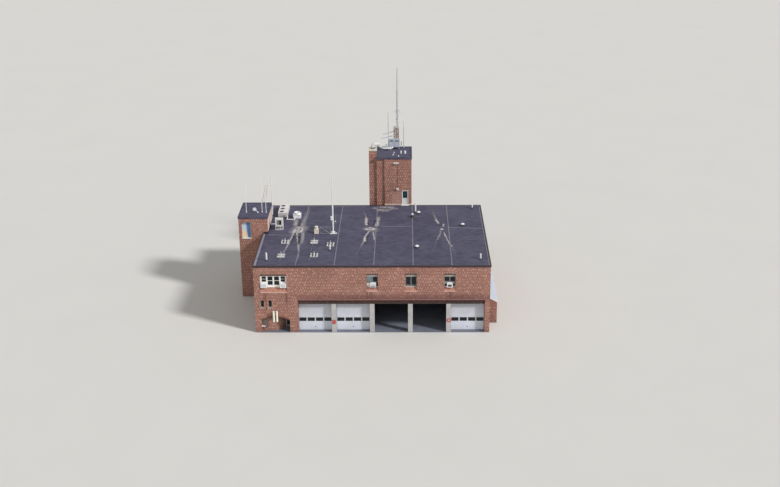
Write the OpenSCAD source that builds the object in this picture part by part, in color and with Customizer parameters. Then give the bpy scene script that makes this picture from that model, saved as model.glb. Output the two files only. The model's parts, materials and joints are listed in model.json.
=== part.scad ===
// Fire station: a two-storey brick block with five vehicle bays, a stair tower, a hose tower and a lean-to.
// X runs along the front to the right, Y runs back from the front wall and Z is up from the ground.

/* [Main block] */
// Length of the front
main_w = 26000; // [25950:10:26100]
// Depth from the front wall to the rear wall
main_d = 19300; // [19000:50:20000]
// Height of the top of the flat roof
roof_top = 8050; // [8000:10:8200]
// Thickness of the brick outer walls
wall_t = 300; // [250:10:320]
// Thickness of the front wall, which carries the deep window reveals
front_t = 350; // [330:10:400]
// Thickness of the roof and floor slabs
slab_t = 200; // [150:10:250]
// Thickness of the ground slab above the paving
ground_t = 50; // [30:5:60]
// Height of the second floor's walking surface
floor_top = 4250; // [4200:10:4300]
// Height of the metal edge above the roof
edge_h = 50; // [30:5:80]
// How far the metal edge stands out of the wall
edge_out = 60; // [30:5:80]

/* [Vehicle bays] */
// Clear width of each bay opening
bay_w = 3720; // [3680:10:3740]
// Distance from one bay to the next
bay_pitch = 4240; // [4220:10:4250]
// Left edge of the first bay
bay_start = 4760; // [4720:10:4800]
// Clear height of the bay openings
bay_h = 3450; // [3400:10:3500]
// Top of the dark brick band over the bays, where the upper floor slab rests
band_top = 4000; // [3980:10:4050]
// How far the band sits behind the upper wall
band_back = 120; // [80:10:150]
// Depth of the piers between the bays
pier_d = 550; // [500:10:600]

/* [Overhead doors] */
// Height of one door section
section_h = 533; // [500:1:540]
// Number of sections in a door
sections = 7; // [7:1:7]
// Thickness of a section
section_t = 45; // [40:1:50]
// How far a door laps behind its jambs
door_lap = 50; // [40:5:60]
// Width of one glazed light in a door
light_w = 820; // [760:10:830]
// Height of one glazed light in a door
light_h = 460; // [420:10:470]
// Radius of the bend in the door tracks
track_r = 380; // [350:10:400]
// Height of the level stretch of the door tracks
track_top = 3880; // [3860:5:3900]

/* [Upper windows] */
// Width of a single window opening
win_w = 1270; // [1200:10:1300]
// Bottom of the sloped brick sill at the wall face
win_low = 5030; // [5000:10:5100]
// Head of the window openings
win_top = 7130; // [7050:10:7200]
// Rise of the sloped brick sill
sill_rise = 450; // [400:10:500]
// Depth of the reveal in front of a window unit
reveal = 220; // [200:10:240]
// Width of the grouped window opening
group_w = 2940; // [2850:10:3000]

/* [Entrance] */
// Left edge of the arched opening
arch_x = 630; // [600:10:680]
// Width of the arched opening
arch_w = 3200; // [3100:10:3250]
// Height where the arch springs
arch_spring = 1540; // [1520:10:1580]
// Height of the arch at its crown
arch_crown = 1960; // [1930:10:2020]
// Distance from the front face to the back wall of the porch
porch_d = 1450; // [1400:10:1500]
// Height of the porch ceiling
porch_h = 2350; // [2320:10:2400]
// Left end of the bend in the curved screen wall
screen_x = 1400; // [1350:10:1450]
// Radius of the face of the curved screen wall
screen_r = 2000; // [1950:10:2050]
// Thickness of the screen wall
screen_t = 200; // [150:10:220]
// Width of the entrance door leaf
leaf_w = 860; // [820:10:880]
// Height of the entrance door leaf
leaf_h = 2080; // [2040:10:2090]

/* [Stair tower] */
// Distance that the tower stands out to the left
stair_out = 2800; // [2760:10:2850]
// Distance that the tower reaches into the main block
stair_in = 600; // [550:10:650]
// Distance from the front wall to the tower's face
stair_y = 9700; // [9500:50:10000]
// Depth of the tower
stair_d = 4830; // [4700:10:4900]
// Height of the tower's roof
stair_top = 10150; // [10100:50:10300]

/* [Hose tower] */
// Left side of the tower
hose_x = 13150; // [13100:10:13200]
// Width of the tower
hose_w = 4300; // [4200:50:4400]
// Depth of the tower
hose_d = 4450; // [4400:10:4600]
// Height of the tower's roof
hose_top = 14310; // [14250:10:14400]
// Width of the square chimney beside the tower
chimney_w = 950; // [900:10:1000]
// Height of the chimney
chimney_top = 15050; // [14900:50:15200]
// How far the left end of the tower's front steps back
hose_step = 150; // [100:10:200]
// Side of the triangle of the mast's lower length
mast_side = 580; // [540:10:600]
// Side of the triangle of the mast's upper length
mast_top_side = 260; // [220:10:300]
// Height of the tip of the main aerial
aerial_top = 24500; // [24000:50:24600]

/* [Lean-to] */
// Width of the lean-to
annex_w = 1000; // [900:10:1100]
// Distance from the front wall to the lean-to
annex_y = 2460; // [2400:10:2600]
// Length of the lean-to along the side wall
annex_d = 9900; // [9000:100:10500]
// Height of the lean-to at its eave
annex_eave = 2600; // [2500:10:2700]
// Height of the lean-to where it meets the wall
annex_ridge = 3140; // [3050:10:3250]

/* [Hidden] */

brick = "#8C5A4C";
dark_brick = "#4A332C";
roofing = "#50515F";
concrete = "#C5BFB2";
white = "#DADCE2";
grey = "#8E9196";
dark_glass = "#2E3640";

wall_top = roof_top - slab_t;
floor_low = band_top;
trim_drop = 120;
edge_w = 60;
edge_drop = 200;
door_y = pier_d;
track_w = 50;
track_d = 60;
end_wall_w = 430;
arch_rise = arch_crown - arch_spring;
arch_r = (pow(arch_w / 2, 2) + pow(arch_rise, 2)) / (2 * arch_rise);
door_x = arch_x + arch_w - 590;
frame_w = 45;
leaf_gap = 5;
leaf_t = 45;
frame_d = 105;
pivot_out = 10;
knuckle_r = 8;
unit_t = 80;
panel_low = 560;
panel_top = 1500;
groove = 8;
glass_t = 12;
door_open_w = leaf_w + 2 * frame_w + 2 * leaf_gap;
leaf_x = door_x + frame_w + leaf_gap;
hinge_heights = [300, 1100, 1900];
porch_wall_t = 150;
panel_x = arch_x + 90;
panel_w = 520;
lantern_out = 400;
lantern_r = 120;
lantern_h = 1300;
lantern_low = 1460;
window_centres = [13050, 17300, 21550];
bay_end = bay_start + 4 * bay_pitch + bay_w;
cooler_middles = [13140, 21540];
filler_ends = [[12425, 13460], [20930, 22170]];
group_x = 2170;
group_low = 4900;
group_top = 7050;
group_rise = 560;
window_head = 230;
foot_plain = 200;
foot_cooled = 620;
window_feet = [foot_cooled, foot_plain, foot_cooled];
group_head = 6750;
group_lights = [[-1310, 520, 6070], [-660, 590, 5690], [60, 590, 5690], [790, 520, 6070]];
small_windows = [835, 1690];
small_w = 400;
small_low = 3000;
small_top = 3940;
small_rise = 60;
small_bar = 30;
rear_windows = [3200, 8200, 20200, 23600];
right_windows = [4600, 10800, 15800];
left_windows = [2600, 6300, 17000];
lower_low = 1100;
lower_top = lower_low + win_top - win_low;
annex_wall_t = 150;
chimney_y = main_d + 350;
hose_step_w = 950;
stair_w = stair_out + stair_in;
roof_t = 150;
flue_t = 240;
stair_win = [-2460, 1080, 7440, 2040];
access_door = [16250, 780, 2000];

mast_at = [15690, main_d + hose_d - 450];
mast_joint = 2700;
mast_h = 4690;
mast_drum = 3750;
pole_h = 2600;

low_x = -stair_out - edge_out;
high_x = main_w + annex_w + 80;
low_y = -lantern_out;
high_y = main_d + hose_d + edge_out;

// Moves the building from its front-left corner to the middle of its own extents
module on_site() translate([-(low_x + high_x) / 2, -(low_y + high_y) / 2, 0]) children();

module block(x0, x1, y0, y1, z0, z1) translate([x0, y0, z0]) cube([x1 - x0, y1 - y0, z1 - z0]);

// Puts children, drawn for a wall that faces -Y at the origin, on the wall that faces the named way
module on_side(side, along) {
    if (side == "front") translate([along, 0, 0]) children();
    if (side == "right") translate([main_w, along, 0]) rotate(90) children();
    if (side == "rear") translate([along, main_d, 0]) rotate(180) children();
    if (side == "left") translate([0, along, 0]) rotate(-90) children();
}

// Cut in plan for the part of the stair tower that reaches into the main block
module stair_notch() translate([-edge_out - 1, stair_y]) square([stair_in + edge_out + 1, stair_d]);

// Outline in plan of the main block
module main_plan() difference() {
    square([main_w, main_d]);
    stair_notch();
}

// Outline in plan of the space between the outer walls
module inner_plan() difference() {
    translate([wall_t, front_t]) square([main_w - 2 * wall_t, main_d - front_t - wall_t]);
    stair_notch();
}

// Outline in plan of the hose tower
module hose_plan() translate([hose_x, main_d]) square([hose_w, hose_d]);

// Cut through a wall for a window, with the bottom sloping out to the wall face
module window_cut(w, low, top, rise, depth) translate([-w / 2, 0, 0])
    rotate([90, 0, 90]) linear_extrude(w)
        polygon([[-1, low], [reveal, low + rise], [depth + 1, low + rise], [depth + 1, top], [-1, top]]);

// Window unit with a solid head panel, lights side by side and a solid panel under them
module window_unit(w, low, top, head, foot, lights, bar = 50) translate([-w / 2, reveal, low]) difference() {
    cube([w, unit_t, top - low]);
    light = (w - bar * (lights + 1)) / lights;
    for (i = [0 : lights - 1]) translate([bar + i * (light + bar), -1, foot])
        cube([light, unit_t + 2, top - low - head - foot]);
}

module window_glass(w, low, top, head, foot, lights, bar = 50) {
    light = (w - bar * (lights + 1)) / lights;
    for (i = [0 : lights - 1]) translate([-w / 2 + bar + i * (light + bar), reveal + unit_t / 2, low + foot])
        cube([light, glass_t, top - low - head - foot]);
}

// Grouped unit: two tall lights in the middle and a short one over a cooler at each end
module group_unit() translate([group_x, reveal, 0]) difference() {
    group_bottom = group_low + group_rise;
    translate([-group_w / 2, 0, group_bottom]) cube([group_w, unit_t, group_top - group_bottom]);
    for (l = group_lights) translate([l[0], -1, l[2]]) cube([l[1], unit_t + 2, group_head - l[2]]);
}

module ground_slab() color(concrete) on_site() linear_extrude(ground_t) {
    square([main_w, main_d]);
    translate([-stair_out, stair_y]) square([stair_out, stair_d]);
    translate([main_w, annex_y]) square([annex_w, annex_d]);
    translate([hose_x - chimney_w, chimney_y]) square([chimney_w + 1, chimney_w]);
    hose_plan();
}

module second_floor_slab() color(concrete) on_site()
    translate([0, 0, floor_low]) linear_extrude(floor_top - floor_low) inner_plan();

module main_roof() color(roofing) on_site()
    translate([0, 0, wall_top]) linear_extrude(slab_t) main_plan();

module roof_edge_trim() color(grey) on_site() difference() {
    translate([0, 0, roof_top - trim_drop]) linear_extrude(trim_drop + edge_h) difference() {
        translate([-edge_out, -edge_out]) square([main_w + 2 * edge_out, main_d + 2 * edge_out]);
        stair_notch();
        hose_plan();
    }
    translate([0, 0, roof_top - trim_drop - 1]) linear_extrude(trim_drop + 1) main_plan();
    translate([0, 0, roof_top - 1]) linear_extrude(edge_h + 2)
        translate([edge_w, edge_w]) square([main_w - 2 * edge_w, main_d - 2 * edge_w]);
}

module front_wall_upper() color(brick) on_site() difference() {
    block(0, main_w, 0, front_t, band_top, wall_top);
    for (x = window_centres) translate([x, 0, 0]) window_cut(win_w, win_low, win_top, sill_rise, front_t);
    translate([group_x, 0, 0]) window_cut(group_w, group_low, group_top, group_rise, front_t);
}

module entrance_wall_left() color(brick) on_site() block(0, arch_x, 0, front_t, ground_t, arch_spring);

module entrance_wall_right() color(brick) on_site()
    block(arch_x + arch_w, bay_start, 0, front_t, ground_t, arch_spring);

module entrance_arch() color(brick) on_site() difference() {
    block(0, bay_start, 0, front_t, arch_spring, band_top);
    translate([arch_x + arch_w / 2, -1, arch_crown - arch_r]) rotate([-90, 0, 0])
        cylinder(h = front_t + 2, r = arch_r, $fn = 96);
    for (x = small_windows) translate([x, 0, 0])
        window_cut(small_w, small_low, small_top, small_rise, front_t);
}

module porch_back_wall() color(brick) on_site() {
    block(wall_t, door_x, porch_d, porch_d + porch_wall_t, ground_t, porch_h);
    block(door_x + door_open_w, bay_start - end_wall_w, porch_d, porch_d + porch_wall_t, ground_t, porch_h);
}

module porch_ceiling() color(concrete) on_site()
    block(wall_t, bay_start - end_wall_w, front_t, porch_d + porch_wall_t, porch_h, porch_h + 100);

// Plan of the screen wall: straight along the front, then swept back to the door in one round bend
module screen_plan() {
    translate([arch_x, front_t]) square([screen_x - arch_x, screen_t]);
    intersection() {
        translate([screen_x, front_t + screen_r]) difference() {
            circle(r = screen_r, $fn = 360);
            circle(r = screen_r - screen_t, $fn = 360);
        }
        translate([screen_x, front_t]) square([screen_r, porch_d - front_t]);
    }
}

module porch_screen_wall() color(brick) on_site() difference() {
    translate([0, 0, ground_t]) linear_extrude(porch_h - ground_t) screen_plan();
    block(panel_x, panel_x + panel_w, front_t - 1, front_t + screen_t + 1, panel_low, panel_top);
}

// Pale panel that closes the opening in the screen wall, with a letter box on it
module porch_side_panel() color(white) on_site() {
    block(panel_x, panel_x + panel_w, front_t + 60, front_t + 120, panel_low, panel_top);
    block(panel_x - 80, panel_x + 370, front_t - 140, front_t, panel_low + 40, panel_low + 220);
    block(panel_x, panel_x + 370, front_t, front_t + 60, panel_low + 40, panel_low + 220);
}

module entrance_door_frame() color(white) on_site() {
    difference() {
        block(door_x, door_x + door_open_w, porch_d, porch_d + frame_d, ground_t, porch_h);
        block(leaf_x - leaf_gap, leaf_x + leaf_w + leaf_gap, porch_d - 1, porch_d + frame_d + 1,
              ground_t - 1, ground_t + leaf_h + 20);
        block(leaf_x + 20, leaf_x + leaf_w - 20, porch_d - 1, porch_d + frame_d + 1,
              ground_t + leaf_h + 70, porch_h - 30);
    }
    for (z = hinge_heights) translate([leaf_x + leaf_w + leaf_gap / 2, porch_d + frame_d, z]) {
        for (k = [-36, 16]) translate([0, pivot_out, k]) cylinder(h = 20, r = knuckle_r, $fn = 24);
        for (k = [-36, 16]) translate([leaf_gap / 2, 0, k]) cube([30, 6, 20]);
        for (k = [-36, 16]) translate([leaf_gap / 2, 0, k]) cube([4, pivot_out, 20]);
    }
}

module entrance_door() color(dark_glass) on_site() {
    y0 = porch_d + frame_d - leaf_t;
    z0 = ground_t + 10;
    difference() {
        block(leaf_x, leaf_x + leaf_w, y0, y0 + leaf_t, z0, z0 + leaf_h);
        for (y = [y0 - 1, y0 + leaf_t - 15])
            block(leaf_x + 110, leaf_x + leaf_w - 110, y, y + 16, z0 + 250, z0 + leaf_h - 120);
    }
    for (z = hinge_heights) translate([leaf_x + leaf_w + leaf_gap / 2, y0 + leaf_t, z - 15]) {
        translate([0, pivot_out, 0]) cylinder(h = 30, r = knuckle_r, $fn = 24);
        translate([-leaf_gap / 2 - 30, 0, 0]) cube([30, 6, 30]);
        translate([-leaf_gap / 2 - 4, 0, 0]) cube([4, pivot_out, 30]);
    }
    translate([leaf_x + 60, y0 - 30, ground_t + 900]) cylinder(h = 300, r = 12, $fn = 24);
    for (z = [930, 1170]) translate([leaf_x + 60, y0, ground_t + z]) rotate([90, 0, 0])
        cylinder(h = 30, r = 8, $fn = 24);
}

module porch_lanterns() color(white) on_site() for (x = [2080, 2440]) {
    translate([x, -lantern_out + lantern_r, lantern_low]) cylinder(h = lantern_h, r = lantern_r, $fn = 32);
    for (z = [2300, 2600]) block(x - 25, x + 25, -lantern_out + 2 * lantern_r - 20, 0, z, z + 60);
}

module bay_lintel() color(dark_brick) on_site()
    block(bay_start, bay_end, band_back, pier_d, bay_h, band_top);

module bay_pier(i) color(concrete) on_site() {
    right = bay_start + i * bay_pitch;
    block(right - bay_pitch + bay_w, right, 20, pier_d, ground_t, bay_h);
}

module bay_pier_1() bay_pier(1);
module bay_pier_2() bay_pier(2);
module bay_pier_3() bay_pier(3);
module bay_pier_4() bay_pier(4);

module bay_end_walls() color(brick) on_site() {
    block(bay_start - end_wall_w, bay_start, front_t, pier_d, ground_t, band_top);
    block(bay_start - end_wall_w, bay_start - 150, pier_d, porch_d + porch_wall_t, ground_t, band_top);
    block(bay_end, main_w, 0, front_t, ground_t, band_top);
    block(bay_end, main_w - wall_t, front_t, pier_d, ground_t, band_top);
}

// Sectional door drawn flat: seven sections with a groove between them and glazed lights through the third
module sectional_door() difference() {
    w = bay_w + 2 * door_lap;
    gap = (w - 4 * light_w) / 5;
    cube([w, section_t, sections * section_h]);
    for (s = [1 : sections - 1], y = [-1, section_t - groove])
        translate([-1, y, s * section_h - groove / 2]) cube([w + 2, groove + 1, groove]);
    for (k = [0 : 3]) translate([gap + k * (light_w + gap), -1, 2.5 * section_h - light_h / 2])
        cube([light_w, section_t + 2, light_h]);
}

module closed_door(i) translate([bay_start + i * bay_pitch - door_lap, door_y, ground_t]) sectional_door();

// The same door lying level between its tracks under the ceiling
module raised_door(i)
    translate([bay_start + i * bay_pitch - door_lap, door_y + track_r + 60, track_top + track_d / 2 - 10])
        rotate([-90, 0, 0]) sectional_door();

module bay_door_1() color(white) on_site() closed_door(0);
module bay_door_2() color(white) on_site() closed_door(1);
module bay_door_5() color(white) on_site() closed_door(4);
module raised_door_3() color(white) on_site() raised_door(2);
module raised_door_4() color(white) on_site() raised_door(3);

module bay_door_glass() color(dark_glass) on_site() for (i = [0, 1, 4]) {
    x0 = bay_start + i * bay_pitch - door_lap;
    gap = (bay_w + 2 * door_lap - 4 * light_w) / 5;
    for (k = [0 : 3])
        translate([x0 + gap + k * (light_w + gap), door_y + 20, ground_t + 2.5 * section_h - light_h / 2])
            cube([light_w, 6, light_h]);
}

// One track: up beside the door, round the bend and back under the ceiling, with hangers to the slab
module track(x) {
    bend_y = door_y + track_d / 2 + track_r;
    bend_z = track_top - track_r;
    track_end = bend_y + sections * section_h + 200;
    block(x, x + track_w, door_y, door_y + track_d, ground_t, bend_z);
    translate([x, bend_y, bend_z]) rotate([90, 0, 90]) rotate_extrude(angle = 90, start = 90, $fn = 96)
        translate([track_r - track_d / 2, 0]) square([track_d, track_w]);
    block(x, x + track_w, bend_y, track_end, track_top - track_d / 2, track_top + track_d / 2);
    for (y = [bend_y + 600, track_end - 100])
        block(x + 10, x + track_w - 10, y, y + 40, track_top + track_d / 2, floor_low);
}

module door_tracks() color(grey) on_site() for (i = [0 : 4]) {
    x0 = bay_start + i * bay_pitch;
    track(x0 - door_lap - track_w);
    track(x0 + bay_w + door_lap);
}

module left_wall() color(brick) on_site() difference() {
    union() {
        block(0, wall_t, front_t, stair_y, ground_t, wall_top);
        block(0, wall_t, stair_y + stair_d, main_d - wall_t, ground_t, wall_top);
    }
    for (y = left_windows) on_side("left", y) window_cut(win_w, win_low, win_top, sill_rise, wall_t);
}

module right_wall() color(brick) on_site() difference() {
    block(main_w - wall_t, main_w, front_t, main_d - wall_t, ground_t, wall_top);
    for (y = right_windows) on_side("right", y) window_cut(win_w, win_low, win_top, sill_rise, wall_t);
}

module rear_wall() color(brick) on_site() difference() {
    block(0, main_w, main_d - wall_t, main_d, ground_t, wall_top);
    for (x = rear_windows) on_side("rear", x) {
        window_cut(win_w, win_low, win_top, sill_rise, wall_t);
        window_cut(win_w, lower_low, lower_top, sill_rise, wall_t);
    }
}

module front_window_frames() color(white) on_site() {
    for (i = [0 : 2]) translate([window_centres[i], 0, 0])
        window_unit(win_w, win_low + sill_rise, win_top, window_head, window_feet[i], 2);
    group_unit();
    for (x = small_windows) translate([x, 0, 0])
        window_unit(small_w, small_low + small_rise, small_top, small_bar, small_bar, 1, small_bar);
}

module front_window_glass() color(dark_glass) on_site() {
    for (i = [0 : 2]) translate([window_centres[i], 0, 0])
        window_glass(win_w, win_low + sill_rise, win_top, window_head, window_feet[i], 2);
    for (l = group_lights) translate([group_x + l[0], reveal + unit_t / 2, l[2]])
        cube([l[1], glass_t, group_head - l[2]]);
    for (x = small_windows) translate([x, 0, 0])
        window_glass(small_w, small_low + small_rise, small_top, small_bar, small_bar, 1, small_bar);
}

// The two coolers over the bays have a filler panel beside them in the plane of the window
module air_conditioners() color(white) on_site() {
    sill = win_low + sill_rise;
    for (i = [0, 1]) {
        block(cooler_middles[i] - 310, cooler_middles[i] + 310, -80, reveal, sill + 20, sill + 540);
        block(filler_ends[i][0], filler_ends[i][1], reveal - 60, reveal, sill + 60, sill + 460);
    }
    group_sill = group_low + group_rise;
    for (x = [group_x - group_w / 2 + 60, group_x + group_w / 2 - 740])
        block(x, x + 680, -100, reveal, group_sill + 20, group_sill + 500);
}

module side_windows() {
    for (x = rear_windows) on_side("rear", x) children();
    for (x = rear_windows) on_side("rear", x) translate([0, 0, lower_low - win_low]) children();
    for (y = right_windows) on_side("right", y) children();
    for (y = left_windows) on_side("left", y) children();
}

module side_window_frames() color(white) on_site() side_windows()
    window_unit(win_w, win_low + sill_rise, win_top, window_head, foot_plain, 2);

module side_window_glass() color(dark_glass) on_site() side_windows()
    window_glass(win_w, win_low + sill_rise, win_top, window_head, foot_plain, 2);

module stair_tower_front_wall() color(brick) on_site() difference() {
    block(-stair_out, stair_in, stair_y, stair_y + wall_t, ground_t, stair_top - roof_t);
    translate([stair_win[0] + stair_win[1] / 2, stair_y, 0])
        window_cut(stair_win[1], stair_win[2], stair_win[2] + stair_win[3], 60, wall_t);
}

module stair_tower_side_walls() color(brick) on_site() for (x = [-stair_out, stair_in - wall_t])
    block(x, x + wall_t, stair_y + wall_t, stair_y + stair_d - wall_t, ground_t, stair_top - roof_t);

module stair_tower_back_wall() color(brick) on_site()
    block(-stair_out, stair_in, stair_y + stair_d - wall_t, stair_y + stair_d, ground_t, stair_top - roof_t);

// Flat roof slab with a metal edge that stands out of the walls and up past the roofing
module tower_roof(x, y, w, d, top) {
    block(x, x + w, y, y + d, top - roof_t, top);
    difference() {
        block(x - edge_out, x + w + edge_out, y - edge_out, y + d + edge_out, top - edge_drop, top + edge_h);
        block(x, x + w, y, y + d, top - edge_drop - 1, top);
        block(x + edge_w, x + w - edge_w, y + edge_w, y + d - edge_w, top - 1, top + edge_h + 1);
    }
}

module stair_tower_roof() color(roofing) on_site()
    tower_roof(-stair_out, stair_y, stair_w, stair_d, stair_top);

module stair_tower_window() color(white) on_site() translate([stair_win[0] + stair_win[1] / 2, stair_y, 0]) {
    low = stair_win[2] + small_rise;
    window_unit(stair_win[1], low, stair_win[2] + stair_win[3], 60, 60, 1);
    window_glass(stair_win[1], low, stair_win[2] + stair_win[3], 60, 60, 1);
}

// Three whips on the tower's roof, a small dish on an arm, and a taller whip held off the right-hand wall
module stair_tower_aerials() color(white) on_site() {
    for (p = [[-2040, 11370, 3670], [-180, 11360, 4280], [300, 11250, 2450]])
        translate([p[0], p[1], stair_top]) {
            cylinder(h = p[2], r = 35, $fn = 16);
            cylinder(h = 60, r = 80, $fn = 24);
        }
    translate([-680, 11250, stair_top]) {
        cylinder(h = 60, r = 100, $fn = 24);
        bar([0, 0, 30], [-350, 0, 430], 30, 12);
        translate([-350, 0, 430]) rotate([90, 0, 0]) cylinder(h = 100, r1 = 120, r2 = 220, $fn = 48);
    }
    translate([stair_in + 120, 13900, 0]) {
        translate([0, 0, 8900]) cylinder(h = 4650, r = 45, $fn = 16);
        for (z = [9150, 9700]) translate([-120, -25, z]) cube([120, 50, 50]);
    }
}

module hose_tower_front_wall() color(brick) on_site() difference() {
    block(hose_x, hose_x + hose_w, main_d, main_d + wall_t, ground_t, hose_top - roof_t);
    block(hose_x - 1, hose_x + hose_step_w, main_d - 1, main_d + hose_step, roof_top, hose_top);
    block(access_door[0], access_door[0] + access_door[1], main_d - 1, main_d + wall_t + 1,
          roof_top, roof_top + access_door[2]);
}

module hose_tower_side_walls() color(brick) on_site()
    for (x = [hose_x, hose_x + hose_w - wall_t])
        block(x, x + wall_t, main_d + wall_t, main_d + hose_d - wall_t, ground_t, hose_top - roof_t);

module hose_tower_back_wall() color(brick) on_site()
    block(hose_x, hose_x + hose_w, main_d + hose_d - wall_t, main_d + hose_d, ground_t, hose_top - roof_t);

module hose_tower_roof() color(roofing) on_site() difference() {
    tower_roof(hose_x, main_d, hose_w, hose_d, hose_top);
    block(hose_x - chimney_w, hose_x, chimney_y, chimney_y + chimney_w, hose_top - 300, hose_top + 300);
}

module roof_access_door() color(white) on_site() {
    x0 = access_door[0];
    w = access_door[1];
    block(x0, x0 + w, main_d + 40, main_d + 110, roof_top, roof_top + access_door[2]);
    translate([x0 + 70, main_d, roof_top + 900]) rotate([-90, 0, 0]) cylinder(h = 40, r = 30, $fn = 24);
}

module flue_cut(z0, z1) translate([hose_x - chimney_w + flue_t, chimney_y + flue_t, z0])
    cube([chimney_w - 2 * flue_t, chimney_w - 2 * flue_t, z1 - z0]);

module chimney() color(brick) on_site() difference() {
    block(hose_x - chimney_w, hose_x, chimney_y, chimney_y + chimney_w, ground_t, chimney_top);
    flue_cut(ground_t - 1, chimney_top + 1);
}

module chimney_cap() color(concrete) on_site() difference() {
    block(hose_x - chimney_w - 40, hose_x + 40, chimney_y - 40, chimney_y + chimney_w + 40,
          chimney_top, chimney_top + 200);
    flue_cut(chimney_top - 1, chimney_top + 201);
}

// Round bar between two points
module bar(a, b, r, sides = 6) {
    v = b - a;
    lean = acos(v[2] / norm(v));
    translate(a) rotate([0, lean, atan2(v[1], v[0])]) cylinder(h = norm(v), r = r, $fn = sides);
}

// Length of triangular lattice: three legs with a bar zigzagging up each side between them
module lattice(side, length, steps, leg_r) {
    corner = [for (k = [0 : 2]) side / sqrt(3) * [cos(90 + 120 * k), sin(90 + 120 * k)]];
    step = (length - 100) / steps;
    for (k = [0 : 2]) {
        a = corner[k];
        b = corner[(k + 1) % 3];
        bar([a[0], a[1], 0], [a[0], a[1], length], leg_r, 8);
        for (s = [0 : steps - 1]) {
            from = s % 2 == 0 ? a : b;
            to = s % 2 == 0 ? b : a;
            low = 50 + s * step;
            bar([from[0], from[1], low], [to[0], to[1], low + step], leg_r / 2);
        }
    }
}

module lattice_mast() color(grey) on_site() translate([mast_at[0], mast_at[1], hose_top]) {
    translate([-130, 0, 0]) lattice(mast_side, mast_joint, 7, 36);
    translate([-130, 0, mast_joint]) cylinder(h = 60, r = mast_side / sqrt(3) + 40, $fn = 32);
    translate([0, 0, mast_joint + 60]) lattice(mast_top_side, mast_h - mast_joint - 60, 8, 20);
    translate([0, 0, mast_h - 30]) cylinder(h = 60, r = mast_top_side / sqrt(3) + 30, $fn = 32);
    translate([0, 0, mast_h]) cylinder(h = pole_h, r = 100, $fn = 24);
    translate([0, 0, mast_h + pole_h])
        cylinder(h = aerial_top - hose_top - mast_h - pole_h, r1 = 80, r2 = 55, $fn = 24);
    for (k = [0 : 3]) rotate(45 + 90 * k) bar([0, 0, mast_h + 350], [480, 0, mast_h + 30], 20);
    translate([230, -120, mast_drum]) rotate([90, 0, 0]) cylinder(h = 130, r = 220, $fn = 48);
    bar([0, 0, mast_drum], [230, -130, mast_drum], 30);
    for (z = [mast_drum - 40, mast_drum + 40]) translate([0, 0, z - 15])
        cylinder(h = 30, r = mast_top_side / sqrt(3) + 10, $fn = 24);
}

// Two long slanted rods across the left-hand pole
left_rods = [[-680, 1780, 730, 2170], [-870, 1220, 580, 1580]];

module tower_aerials() color(white) on_site() translate([0, 0, hose_top]) {
    back = main_d + hose_d - 350;
    translate([14570, back, 0]) {
        cylinder(h = 2850, r = 45, $fn = 16);
        translate([0, 0, 2850]) cylinder(h = 150, r = 80, $fn = 24);
        translate([0, 0, 3000]) cylinder(h = 1650, r1 = 55, r2 = 35, $fn = 16);
        for (r = left_rods) bar([r[0], 0, r[1]], [r[2], 0, r[3]], 50, 8);
    }
    translate([16490, back, 0]) {
        cylinder(h = 2740, r = 50, $fn = 16);
        translate([0, 0, 2740]) cylinder(h = 640, r = 25, $fn = 12);
    }
    translate([16190, back, 0]) cylinder(h = 350, r = 25, $fn = 12);
    block(16110, 16270, back - 50, back + 50, 350, 850);
    for (p = [[16150, 80], [16650, 120]]) translate([p[0], 20970, 0]) cylinder(h = 350, r = p[1], $fn = 24);
    for (x = [13750, 14570, 14870]) block(x - 40, x + 40, 22310, 22390, 0, 330);
    bar([13650, 22350, 350], [15000, 22350, 350], 55, 8);
    block(14200, 14600, 22200, 22500, 250, 620);
    for (x = [13620, 14800]) block(x, x + 220, 22280, 22420, 300, 430);
}

module equipment_cabinet() color(grey) on_site() translate([14610, main_d + hose_d - 1050, hose_top]) {
    translate([0, 0, 300]) cube([1390, 360, 1000]);
    for (x = [60, 1270], y = [20, 280]) translate([x, y, 0]) cube([60, 60, 320]);
}

module annex_walls() color(brick) on_site() difference() {
    translate([main_w, annex_y + annex_d, 0]) rotate([90, 0, 0]) linear_extrude(annex_d)
        polygon([[0, ground_t], [annex_w, ground_t], [annex_w, annex_eave], [0, annex_ridge]]);
    translate([main_w - 1, annex_y + annex_wall_t, -1])
        cube([annex_w - annex_wall_t + 1, annex_d - 2 * annex_wall_t, annex_ridge]);
}

module annex_roof() color(grey) on_site() translate([main_w, annex_y + annex_d + 60, 0]) rotate([90, 0, 0])
    linear_extrude(annex_d + 120) polygon([[0, annex_ridge], [annex_w, annex_eave],
        [annex_w + 80, annex_eave - 43], [annex_w + 80, annex_eave + 37], [0, annex_ridge + 80]]);

// Bank of three condensers on feet, each with a round fan well in its top
module roof_condensers() color(concrete) on_site()
    for (y = [15180, 16190, 17200]) translate([1220, y, roof_top]) {
        difference() {
            translate([0, 0, 100]) cube([1160, 960, 500]);
            translate([400, 480, 550]) cylinder(h = 60, r = 270, $fn = 48);
        }
        for (x = [60, 1040]) translate([x, 60, 0]) cube([60, 840, 100]);
    }

module roof_units() color(concrete) on_site() translate([0, 0, roof_top]) {
    for (x = [1360, 2180], y = [10950, 11350]) translate([x, y, 0]) cube([60, 60, 450]);
    block(1340, 2260, 10930, 11430, 450, 1400);
    block(3100, 4010, 14770, 15520, 0, 450);
    translate([3555, 15145, 450]) cylinder(h = 250, r1 = 370, r2 = 280, $fn = 48);
    block(6020, 6540, 9630, 10130, 0, 550);
    translate([6280, 9880, 550]) cylinder(h = 300, r = 200, $fn = 48);
    for (x = [6680, 7870]) block(x, x + 60, 9640, 9700, 0, 870);
    block(6680, 7930, 9640, 9700, 810, 870);
    for (s = [[6710, 7900], [7900, 6710]]) bar([s[0], 9670, 60], [s[1], 9670, 840], 15);
}

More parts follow.
